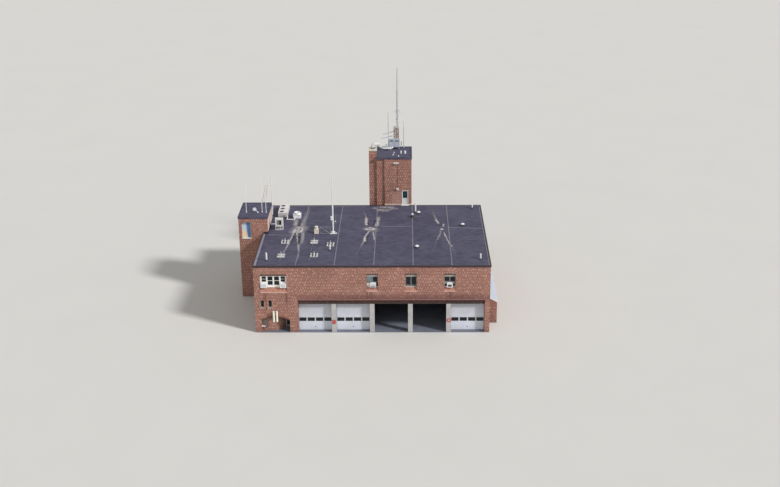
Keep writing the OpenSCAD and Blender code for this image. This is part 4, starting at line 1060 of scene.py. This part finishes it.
# The foot and the head of a strainer's bar are how far out and how far up they are.
drainWork = {"places": [(4.01, 11.10), (12.48, 11.57), (20.95, 11.06)], "bars": 12, "foot": (0.11, 0.035),
             "head": (0.045, 0.14), "bar": 0.006, "cap": 0.05, "capZ": (0.13, 0.15)}
strainers = []
for x, y in drainWork["places"]:
    ends = [roofPoint(x, y, z) for z in drainWork["capZ"]]
    strainers.append(tube("strainer cap", *ends, drainWork["cap"], 20))
    for k in range(drainWork["bars"]):
        angle = k * 2 * math.pi / drainWork["bars"]
        ends = [roofPoint(x + out * math.cos(angle), y + out * math.sin(angle), height)
                for out, height in (drainWork["foot"], drainWork["head"])]
        strainers.append(tube("strainer bar", *ends, drainWork["bar"], 6))
finished("drain_strainers", strainers, "trim", darkSteel)

# Place and radius of each vent, then the sleeve of the one that shows dark.
ventWork = {"vents": [(1.35, 1.62, 0.065), (8.18, 4.55, 0.07), (17.92, 16.90, 0.07), (17.53, 15.12, 0.14),
                      (24.94, 18.25, 0.065), (24.97, 1.85, 0.065), (17.99, 5.20, 0.13), (23.48, 12.15, 0.13),
                      (18.30, 16.30, 0.13)], "flare": 0.13, "bootMiddle": 0.068, "bootDeep": 0.14,
            "clampZ": (0.125, 0.155), "clamp": 0.016, "sleeve": (17.53, 15.12), "sleeveRadius": 0.148,
            "sleeveZ": (0.14, 0.33)}
boots = []
for x, y, radius in ventWork["vents"]:
    boot = primitive(bpy.ops.mesh.primitive_cone_add, "boot", roofPoint(x, y, ventWork["bootMiddle"]),
                     vertices=32, radius1=radius + ventWork["flare"], radius2=radius + 0.012,
                     depth=ventWork["bootDeep"])
    boots.append(softened(boot, 0.006))
    ends = [roofPoint(x, y, z) for z in ventWork["clampZ"]]
    boots.append(tube("clamp", *ends, radius + ventWork["clamp"], 32))
finished("vent_boots", boots, "trim", blackRubber)
ends = [roofPoint(*ventWork["sleeve"], z) for z in ventWork["sleeveZ"]]
sleeve = tube("sleeve", *ends, ventWork["sleeveRadius"], 32)
finished("vent_dark_sleeve", [sleeve], "trim", darkGrille)

# A place is its middle and which kind of block it has; a kind is width, depth, count and step.
mountWork = {"places": [(2.86, 7.00, 0), (2.83, 2.85, 1), (6.23, 6.98, 1), (6.51, 2.95, 0), (8.14, 6.15, 0)],
             "kinds": [(0.16, 0.27, 3, 0.34), (0.85, 0.19, 1, 0.90)], "rows": (-0.38, 0.18), "half": 0.43}
trays, blocks = [], []
for x, y, kind in mountWork["places"]:
    wide, deep, count, step = mountWork["kinds"][kind]
    left = x - mountWork["half"] + 0.005
    for row in mountWork["rows"]:
        block = box("block", (left, left + wide), (y + row, y + row + deep), onRoof(0.02, 0.15), 0.012)
        blocks.append(rowed(block, count, (step, 0, 0)))
    for row in (mountWork["rows"][0] - 0.01, mountWork["rows"][1] + 0.19):
        trays.append(box("angle", around(x, mountWork["half"]), (y + row, y + row + 0.02), onRoof(0, 0.05),
                         0.003))
    trays.append(box("spine", around(x, 0.04), around(y, 0.38), onRoof(0, 0.04)))
    trays.append(tube("mast foot", roofPoint(x, y, 0.02), roofPoint(x, y, 0.55), 0.03, 12))
    for end in around(y, 0.30):
        trays.append(tube("stay", roofPoint(x, y, 0.40), roofPoint(x, end, 0.03), 0.012, 8))
finished("mount_blocks", blocks, "concrete", ballast, stands="aerial_mounts")
finished("mount_trays", trays, "white_metal", stands="aerial_mounts")

condenserWork = {"rows": [15.18, 16.19, 17.20], "fan": (1.62, 0.48), "radius": 0.27, "top": 0.60,
                 "sides": (1.216, 2.376)}
rings, blades, louvres = [], [], []
for y in condenserWork["rows"]:
    fanX, fanY, radius = condenserWork["fan"][0], y + condenserWork["fan"][1], condenserWork["radius"]
    guard = Vector(roofPoint(fanX, fanY, condenserWork["top"] + 0.004))
    wellTop = roofLevel + condenserWork["top"]
    for share in (1.0, 0.5):
        rings.append(primitive(bpy.ops.mesh.primitive_torus_add, "ring", guard, major_segments=40,
                               minor_segments=6, major_radius=radius * share, minor_radius=0.009))
    for k in range(4):
        spoke = Vector((math.cos(k * math.pi / 4), math.sin(k * math.pi / 4), 0)) * radius
        rings.append(tube("spoke", guard - spoke, guard + spoke, 0.006, 6))
        blade = box("blade", (fanX + 0.04, fanX + 0.23), around(fanY, 0.06),
                    (wellTop - 0.035, wellTop - 0.028), 0.002)
        turned(blade, 18, "X", (fanX, fanY, wellTop - 0.03))
        blades.append(turned(blade, 90 * k, "Z", (fanX, fanY, 0)))
    blades.append(tube("hub", (fanX, fanY, wellTop - 0.045), (fanX, fanY, wellTop - 0.01), 0.06, 24))
    blades.append(tube("well", (fanX, fanY, wellTop - 0.052), (fanX, fanY, wellTop - 0.046), radius - 0.004,
                       40, 0.002))
    for x in condenserWork["sides"]:
        slat = box("slat", (x, x + 0.008), (y + 0.06, y + 0.90), onRoof(0.16, 0.172), 0.002)
        louvres.append(rowed(slat, 12, (0, 0, 0.033)))
slat = box("slat", (1.30, 2.28), (15.174, 15.184), onRoof(0.18, 0.19), 0.002)
louvres.append(rowed(slat, 10, (0, 0, 0.036)))
finished("condenser_fan_rings", rings, "trim", darkGrille)
finished("condenser_fans", blades, "trim", darkGrille)
finished("condenser_louvres", louvres, "galvanised", paleGrille)

unitWork = {"x": (1.34, 2.26), "y": (10.93, 11.43), "face": 10.935, "z": (0.45, 1.40), "foot": 0.05,
            "bar": 0.06, "legTop": 0.46, "slatWide": 0.05, "slatY": (10.955, 10.975), "slatTop": 0.42,
            "stands": (10.95, 11.35), "runners": (1.36, 2.18), "slats": (1.62, 1.93),
            "openingZ": (0.625, 1.225), "bars": 18, "step": 0.032}
unitCase = box("case", unitWork["x"], (unitWork["face"], unitWork["y"][1]), onRoof(*unitWork["z"]), 0.012)
unitParts = [pressed(unitCase, 0.17, 0.03, lambda normal: abs(normal.y) > 0.9)]
unitParts += [framed("stand", unitWork["x"], (y, y + unitWork["bar"]), onRoof(0, unitWork["legTop"]),
                     unitWork["bar"]) for y in unitWork["stands"]]
unitParts += [box("runner", (x, x + unitWork["bar"]), unitWork["y"], onRoof(0, unitWork["foot"]))
              for x in unitWork["runners"]]
unitParts += [box("slat", (x, x + unitWork["slatWide"]), unitWork["slatY"],
                  onRoof(unitWork["foot"], unitWork["slatTop"])) for x in unitWork["slats"]]
finished("framed_unit", unitParts, "white_metal", stands="roof_units")
grille = rowed(box("grille", (1.52, 1.53), (10.948, 10.966), onRoof(0.63, 1.22), 0.002), unitWork["bars"],
               (unitWork["step"], 0, 0))
coil = box("coil", (1.515, 2.085), (10.960, 10.967), onRoof(*unitWork["openingZ"]), 0.002)
finished("framed_unit_grille", [grille, coil], "trim", darkGrille)
shutter = box("shutter", (1.515, 1.80), (10.951, 10.958), onRoof(*unitWork["openingZ"]), 0.002)
finished("framed_unit_shutter", [shutter], "galvanised", paleGrille)

fanWork = {"middle": (3.555, 15.145), "radius": 0.365, "neck": 0.33, "curb": ((3.10, 4.01), (14.77, 15.52)),
           "lid": ((3.07, 4.04), (14.74, 15.55)), "hoodZ": (0.50, 0.70), "neckMiddle": 0.49, "neckDeep": 0.06,
           "curbZ": (0, 0.42), "lidZ": (0.42, 0.47), "well": 0.13}
hoodFoot, hoodTop = (roofPoint(*fanWork["middle"], z) for z in fanWork["hoodZ"])
hood = tube("hood", hoodFoot, hoodTop, fanWork["radius"], 48, 0.01)
pressed(hood, 0.05, fanWork["well"], lambda normal: normal.z > 0.9)
curb = box("curb", *fanWork["curb"], onRoof(*fanWork["curbZ"]), 0.01)
pressed(curb, 0.06, 0.006, lambda normal: abs(normal.x) > 0.9 or facesFront(normal))
lid = box("lid", *fanWork["lid"], onRoof(*fanWork["lidZ"]), 0.012)
neck = primitive(bpy.ops.mesh.primitive_cylinder_add, "neck",
                 roofPoint(*fanWork["middle"], fanWork["neckMiddle"]), vertices=48, radius=fanWork["neck"],
                 depth=fanWork["neckDeep"])
finished("ventilator", [hood, curb, lid, softened(neck, 0.006)], "white_plastic", stands="roof_units")

hoodWork = {"box": ((6.02, 6.54), (9.63, 10.13)), "middle": (6.28, 9.88), "drum": 0.20, "lid": 0.225,
            "posts": (6.68, 7.87), "railHeights": (0.02, 0.81), "braceX": (6.71, 7.90),
            "braceY": (9.67, 9.655), "braceZ": (0.06, 0.84), "braceRadius": 0.016, "bar": 0.06,
            "postY": (9.64, 9.70), "postTop": 0.87, "railX": (6.68, 7.93), "railY": (9.645, 9.695),
            "rail": 0.05, "boxTop": 0.54, "drumZ": (0.53, 0.80), "lidZ": (0.79, 0.85)}
drumEnds, lidEnds = ([roofPoint(*hoodWork["middle"], z) for z in hoodWork[key]] for key in ("drumZ", "lidZ"))
creamBox = box("cream box", *hoodWork["box"], onRoof(0, hoodWork["boxTop"]), 0.015)
hoodParts = [pressed(creamBox, 0.05, 0.01), tube("cream drum", *drumEnds, hoodWork["drum"], 40),
             tube("cream lid", *lidEnds, hoodWork["lid"], 40, 0.02)]
finished("cream_hood", hoodParts, "cabinet_paint", stands="roof_units")
brace = [box("post", (x, x + hoodWork["bar"]), hoodWork["postY"], onRoof(0, hoodWork["postTop"]), 0.006)
         for x in hoodWork["posts"]]
brace += [box("rail", hoodWork["railX"], hoodWork["railY"], onRoof(z, z + hoodWork["rail"]), 0.006)
          for z in hoodWork["railHeights"]]
low, high = hoodWork["braceZ"]
for y, (start, end) in zip(hoodWork["braceY"], (hoodWork["braceX"], hoodWork["braceX"][::-1])):
    brace.append(tube("brace", roofPoint(start, y, low), roofPoint(end, y, high), hoodWork["braceRadius"],
                      10))
finished("braced_frame", brace, "galvanised", stands="roof_units")
print("roof laps and plant built")


# white pipes, conduits and lagged lines: points, radius, slot, coat and number of sides
towerFace = 19.30
over = roofLevel + 0.08
pipeWork = {
    "ventilator_pipe": ([(2.36, 15.4, over), (2.36, 14.28, over), (3.30, 14.20, over), (3.30, 14.78, over)],
                        0.055, "white_plastic", whiteTube, 12),
    "stair_tower_pipe": ([(0.62, 12.73, over), (1.45, 12.73, over), roofPoint(1.45, 11.42, 0.55)], 0.045,
                         "white_plastic", whiteTube, 12),
    "condenser_lines": ([roofPoint(2.0, 15.14, 0.35), (2.0, 14.9, over), (1.8, 12.6, over),
                         roofPoint(1.8, 11.44, 0.5)], 0.03, "trim", pipeLagging, 12),
    "roof_conduit_left": ([roofPoint(6.10, 9.60, 0.04), roofPoint(6.05, 1.10, 0.04)], 0.016, "galvanised",
                          zinc, 12),
    "roof_conduit_right": ([roofPoint(8.20, 15.84, 0.04), roofPoint(8.20, 10.40, 0.04)], 0.02, "galvanised",
                           zinc, 12),
    "hose_tower_cable": ([(15.70, towerFace - 0.015, 13.6), (15.70, towerFace - 0.015, 10.35)], 0.014, "trim",
                         pipeLagging, 8),
    "hose_tower_cable_low": ([(15.56, towerFace - 0.015, 10.2), (14.12, towerFace - 0.015, 9.93),
                              (14.12, towerFace - 0.015, 8.2)], 0.014, "trim", pipeLagging, 8),
    "tower_roof_pipe": ([(13.50, 22.80, 14.60), (13.95, 22.25, 14.60), (14.75, 22.20, 14.60),
                         (15.10, 22.60, 14.60)],
                        0.10, "white_plastic", whiteTube, 12),
    "mast_cable": ([(15.69, 23.13, 14.32), (15.69, 23.20, 17.05), (15.70, 23.16, 19.0)], 0.02, "trim",
                   pipeLagging, 8)}
for name, (points, radius, slotName, coat, sides) in pipeWork.items():
    parts = [tube("length", start, end, radius, sides, 0) for start, end in zip(points, points[1:])]
    parts += [primitive(bpy.ops.mesh.primitive_uv_sphere_add, "elbow", point, segments=sides, ring_count=8,
                        radius=radius * 1.12) for point in points[1:-1]]
    finished(name, parts, slotName, coat)

# Each tube of the mast: how far right and in front of its middle, foot, top, radius, sides and edge.
mastWork = {"place": (8.20, 10.16), "bands": (0.6, 1.8, 3.0, 4.2, 5.4), "clamps": (5.7, 6.1), "whip": 0.16,
            "tubes": [(0, 0, 0.05, 3.6, 0.075, 24, 0.004), (0, 0, 3.58, 7.5, 0.05, 24, 0.004),
                      (0.085, 0.02, 0.1, 5.9, 0.016, 10, 0.004), (0, 0, 0, 0.08, 0.25, 40, 0.004),
                      (-0.16, 0, 5.6, 6.9, 0.025, 16, 0.004), (0.30, 0, 1.30, 1.42, 0.06, 24, 0.012)]}
mastX, mastY = mastWork["place"]
mastParts = [tube("pole", roofPoint(mastX + aside, mastY - ahead, foot),
                  roofPoint(mastX + aside, mastY - ahead, top),
                  radius, sides, edge) for aside, ahead, foot, top, radius, sides, edge in mastWork["tubes"]]
mastParts.append(tube("lamp arm", roofPoint(mastX, mastY, 1.35), roofPoint(mastX + 0.30, mastY, 1.35), 0.02))
baseBar = box("base bar", (7.86, 8.70), (mastY - 0.62, mastY - 0.50), onRoof(0.02, 0.12), 0.01)
mastParts.append(turned(baseBar, 14, "Z", (8.28, mastY - 0.56, 0)))
mastParts.append(box("light box", (7.96, 8.20), (mastY - 0.16, mastY - 0.06), onRoof(1.55, 2.05), 0.02))
for z in mastWork["clamps"]:
    mastParts.append(tube("clamp arm", roofPoint(mastX - mastWork["whip"], mastY, z),
                          roofPoint(mastX, mastY, z), 0.015, 10))
for z in mastWork["bands"]:
    mastParts.append(tube("band", roofPoint(mastX, mastY, z), roofPoint(mastX, mastY, z + 0.04), 0.09, 24))
finished("roof_mast_pole", mastParts, "white_plastic", stands="roof_mast")
print("pipes, cables and mast built")


# stair tower: framed window, lattice aerial, flashing where the main roof meets it

stairWork = {"front": 9.70, "x": (-2.46, -1.38), "z": (7.50, 9.48), "stile": 0.49, "bead": 0.055,
             "flashing": [((0.60, 0.618), (9.65, 14.58)), ((0.05, 0.60), (9.682, 9.70)),
                          ((0.05, 0.60), (14.53, 14.548))],
             "flashHeight": (-0.01, 0.26), "limewash": ((0.600, 0.606), (9.71, 14.52))}
stairFace, (left, right), (low, top) = stairWork["front"], stairWork["x"], stairWork["z"]
stileX = left + stairWork["stile"] * (right - left)
stairBars = [framed("frame", (left, right), (stairFace + 0.205, stairFace + 0.235), (low, top), 0.06),
             box("sill", (left - 0.03, right + 0.03), (stairFace - 0.025, stairFace + 0.22),
                 (low - 0.06, low + 0.02), 0.008)]
finished("stair_window_frame", stairBars, "white_metal")
stile = box("stile", around(stileX, 0.018), (stairFace + 0.222, stairFace + 0.25), (low + 0.05, top - 0.05))
finished("stair_window_stile", [stile], "white_metal", aerialTube)
stairPanes = [pressed(box("pane", x, (stairFace + 0.236, stairFace + 0.256),
                          within((low, top), stairWork["bead"]), 0.002), 0.02, 0.001)
              for x in ((left + stairWork["bead"], stileX), (stileX + 0.001, right - stairWork["bead"]))]
# the stair window panes carry a painted sky reflection
finished("stair_window_panes", stairPanes, "glass", paintedSkyPane)
# the stair tower's right face is pale pink brick: painted sunlight
limewash = box("limewash", *stairWork["limewash"], (roofLevel + 0.01, 9.94), 0.002)
finished("stair_tower_limewash", [limewash], "brick", paintedSunBrick)
flashing = [box("flashing", x, y, onRoof(*stairWork["flashHeight"])) for x, y in stairWork["flashing"]]
finished("stair_tower_flashing", flashing, "trim")

latticeWork = {"foot": (-0.35, 13.9, 10.15), "tip": (0.15, 13.9, 12.6), "half": 0.20, "steps": 7,
               "taper": 0.4}
foot, tip = Vector(latticeWork["foot"]), Vector(latticeWork["tip"])
across = Vector((0, 1, 0)).cross((tip - foot).normalized()).normalized() * latticeWork["half"]
narrow = across * (1 - latticeWork["taper"])
latticeBars = [tube("leg", foot + across * side, tip + narrow * side, 0.022, 8) for side in (-1, 1)]
for k in range(latticeWork["steps"] + 1):
    share = k / latticeWork["steps"]
    rung, point = across * (1 - latticeWork["taper"] * share), foot.lerp(tip, share)
    latticeBars.append(tube("rung", point - rung, point + rung, 0.014, 6))
finished("stair_tower_lattice", latticeBars, "galvanised", pinkSteel)
print("stair tower dressed")


# hose tower: flashing, roof door, wall lamps, chimney cowl, cabinet doors and mast bracing

towerWork = {"flashing": [(14.1, 16.25), (17.03, 17.45)], "door": (16.25, 17.03), "threshold": (16.18, 17.10),
             "baseFlash": (16.10, 17.18), "pane": (16.36, 16.92), "lamps": (15.32, 15.54, 15.76),
             "headZ": (13.52, 13.60), "headOut": (0.22, 0.10), "headRadius": 0.075, "armZ": (13.60, 13.66),
             "armOut": 0.12, "armRadius": 0.018}
flash = [box("flashing", x, (towerFace - 0.015, towerFace), onRoof(0, 0.24)) for x in towerWork["flashing"]]
finished("hose_tower_flashing", flash, "trim", paleFlashing)
doorParts = [framed("frame", towerWork["door"], (towerFace - 0.02, towerFace + 0.05), onRoof(0, 2.0), 0.065),
             box("threshold", towerWork["threshold"], (towerFace - 0.10, towerFace), onRoof(0, 0.09), 0.008),
             box("base flash", towerWork["baseFlash"], (towerFace - 0.02, towerFace - 0.001),
                 onRoof(0, 0.14))]
finished("roof_door_frame", doorParts, "white_metal")
roofPane = box("pane", towerWork["pane"], (towerFace + 0.03, towerFace + 0.042), onRoof(1.0, 1.85), 0.002)
finished("roof_door_pane", [pressed(roofPane, 0.02, 0.002)], "glass", tealPane)
wallLamps = []
for x in towerWork["lamps"]:
    ends = [(x, towerFace - out, z) for out, z in zip(towerWork["headOut"], towerWork["headZ"])]
    wallLamps.append(tube("head", *ends, towerWork["headRadius"], 20, 0.01))
    armFoot, armTop = towerWork["armZ"]
    wallLamps.append(tube("arm", (x, towerFace - towerWork["armOut"], armFoot), (x, towerFace, armTop),
                          towerWork["armRadius"], 8))
wallLamps.append(box("plate", (15.22, 15.86), (towerFace - 0.03, towerFace), (13.60, 13.70), 0.006))
wallLamps.append(box("lamp", (15.56, 15.84), (towerFace - 0.16, towerFace), (10.12, 10.34), 0.02))
finished("hose_tower_lamps", wallLamps, "white_metal")

cowlWork = {"middle": (12.675, 20.125), "base": 15.25, "radius": 0.22, "bend": 0.32, "rise": 0.20,
            "reach": 0.55, "sink": 0.02, "sheet": 0.02}
cowlX, cowlY = cowlWork["middle"]
cowl = primitive(bpy.ops.mesh.primitive_circle_add, "cowl",
                 (cowlX, cowlY, cowlWork["base"] - cowlWork["sink"]),
                 vertices=32, radius=cowlWork["radius"], fill_type="NOTHING")
bpy.ops.object.mode_set(mode="EDIT")
bpy.ops.mesh.select_all(action="SELECT")
bpy.ops.mesh.extrude_region_move(
    TRANSFORM_OT_translate={"value": (0, 0, cowlWork["rise"] + cowlWork["sink"])})
bendCentre = Vector((cowlX + cowlWork["bend"], cowlY, cowlWork["base"] + cowlWork["rise"])) + corner
bpy.ops.mesh.spin(steps=12, angle=math.radians(-90), axis=(0, 1, 0), center=bendCentre)
bpy.ops.mesh.extrude_region_move(TRANSFORM_OT_translate={"value": (cowlWork["reach"], 0, 0)})
bpy.ops.mesh.select_all(action="SELECT")
bpy.ops.mesh.remove_doubles(threshold=0.0005)
bpy.ops.mesh.normals_make_consistent(inside=False)
bpy.ops.object.mode_set(mode="OBJECT")
modified(cowl, "SOLIDIFY", thickness=cowlWork["sheet"], offset=1.0)
finished("chimney_cowl", [smoothed(cowl, sharpest["bend"])], "white_metal")

cabinetWork = {"doors": [(14.64, 15.29), (15.32, 15.97)], "y": (22.688, 22.702), "z": (14.65, 15.57),
               "cap": ((14.59, 16.02), (22.68, 23.08), (15.60, 15.64)), "handle": (15.0, 15.16),
               "louvre": ((14.75, 15.18), (22.683, 22.690), (15.30, 15.312)), "louvres": 8, "step": 0.028,
               "doorStep": 0.68}
doors = [box("cap", *cabinetWork["cap"], 0.01)]
for x in cabinetWork["doors"]:
    doors.append(pressed(box("door", x, cabinetWork["y"], cabinetWork["z"]), 0.04, 0.004))
    ends = [(sum(x) / 2 + 0.24, 22.675, z) for z in cabinetWork["handle"]]
    doors.append(tube("handle", *ends, 0.012, 8))
finished("cabinet_doors", doors, "cabinet_paint", cabinetBlue)
louvre = rowed(box("louvre", *cabinetWork["louvre"], 0.002), cabinetWork["louvres"],
               (0, 0, cabinetWork["step"]))
finished("cabinet_louvres", [rowed(louvre, 2, (cabinetWork["doorStep"], 0, 0))], "trim", darkGrille)

braceWork = {"middle": 15.56, "y": 23.05, "low": 14.36, "step": 0.30, "count": 9, "reach": 0.30,
             "radius": 0.020}
braces = []
left, right = around(braceWork["middle"], braceWork["reach"])
for k in range(braceWork["count"]):
    z = braceWork["low"] + k * braceWork["step"]
    for start, end, rise in ((right, left, braceWork["step"]), (left, right, braceWork["step"]),
                             (left, right, 0)):
        braces.append(tube("brace", (start, braceWork["y"], z), (end, braceWork["y"], z + rise),
                           braceWork["radius"], 6))
finished("mast_bracing", braces, "galvanised", rustSteel)
stubWork = {"stubs": [(15.28, 21.11), (15.17, 20.28), (15.85, 19.75)],
            "sleeves": [(16.15, 0.092), (16.65, 0.130)],
            "junction": ((14.16, 14.42), (23.40, 23.62), (14.32, 14.72))}
stubs = [tube("stub", (x, y, 14.30), (x, y, 14.46), 0.07) for x, y in stubWork["stubs"]]
stubs += [tube("sleeve", (x, 20.97, 14.32), (x, 20.97, 14.655), radius, 24)
          for x, radius in stubWork["sleeves"]]
stubs.append(box("junction box", *stubWork["junction"], 0.02))
finished("tower_roof_stubs", stubs, "white_plastic")
drumWork = {"middle": (15.92, 23.18, 18.06), "radius": 0.225, "drum": (-0.145, 0.02), "rim": (-0.152, -0.12)}
x, y, z = drumWork["middle"]
drum = [tube(part, *((x, y + out, z) for out in drumWork[part]), drumWork["radius"] + wider, 48, edge)
        for part, wider, edge in (("drum", 0, 0.02), ("rim", 0.006, 0.006))]
finished("mast_drum_cover", drum, "white_plastic")
print("hose tower dressed")


# lean-to: standing seams, white barge boards and upstand; downpipes on the unseen rear

annexWork = {"wide": 1.0, "length": 1.06, "eave": 2.60, "ridge": 3.14, "start": 26.0, "pivot": 3.22,
             "seam": 0.45, "seams": 23, "seamY": (2.42, 2.438), "seamZ": (3.2185, 3.2445),
             "bargeY": [(2.395, 2.42), (12.40, 12.425)], "bargeZ": (3.10, 3.235),
             "upstand": ((26.0, 26.02), (2.40, 12.42), (3.18, 3.40))}
fall = annexWork["ridge"] - annexWork["eave"]
slope = math.degrees(math.atan2(fall, annexWork["wide"]))
slopeLong = math.hypot(annexWork["length"], annexWork["length"] * fall / annexWork["wide"])
slopeX = (annexWork["start"], annexWork["start"] + slopeLong)
pivot = (annexWork["start"], 0, annexWork["pivot"])
seam = rowed(box("seam", slopeX, annexWork["seamY"], annexWork["seamZ"]), annexWork["seams"],
             (0, annexWork["seam"], 0))
finished("lean_to_seams", [turned(seam, slope, "Y", pivot)], "annex_metal")
barge = [turned(box("barge", slopeX, y, annexWork["bargeZ"], 0.006), slope, "Y", pivot)
         for y in annexWork["bargeY"]]
finished("lean_to_barge", barge + [box("upstand", *annexWork["upstand"])], "white_metal")
pipeTrim = {"places": (0.35, 11.6, 25.6), "straps": (1.2, 3.4, 5.6)}
pipeParts = [framed("pipe", (-0.05, 0.05), (-0.09, -0.015), (0.15, 7.75), 0.004, "z"),
             box("shoe", (-0.055, 0.055), (-0.16, -0.015), (0.10, 0.2), 0.01),
             box("head", (-0.13, 0.13), (-0.16, -0.005), (7.70, 7.92), 0.012)]
pipeParts += [box("strap", (-0.07, 0.07), (-0.094, -0.001), (z, z + 0.03), 0.003) for z in pipeTrim["straps"]]
pipePattern = merged("downpipe", pipeParts)
finished("downpipes", [onWall(pipePattern, "downpipe", "rear", x) for x in pipeTrim["places"]], "trim")
dropped([pipePattern])
print("lean-to and downpipes built")


print("building dressed")
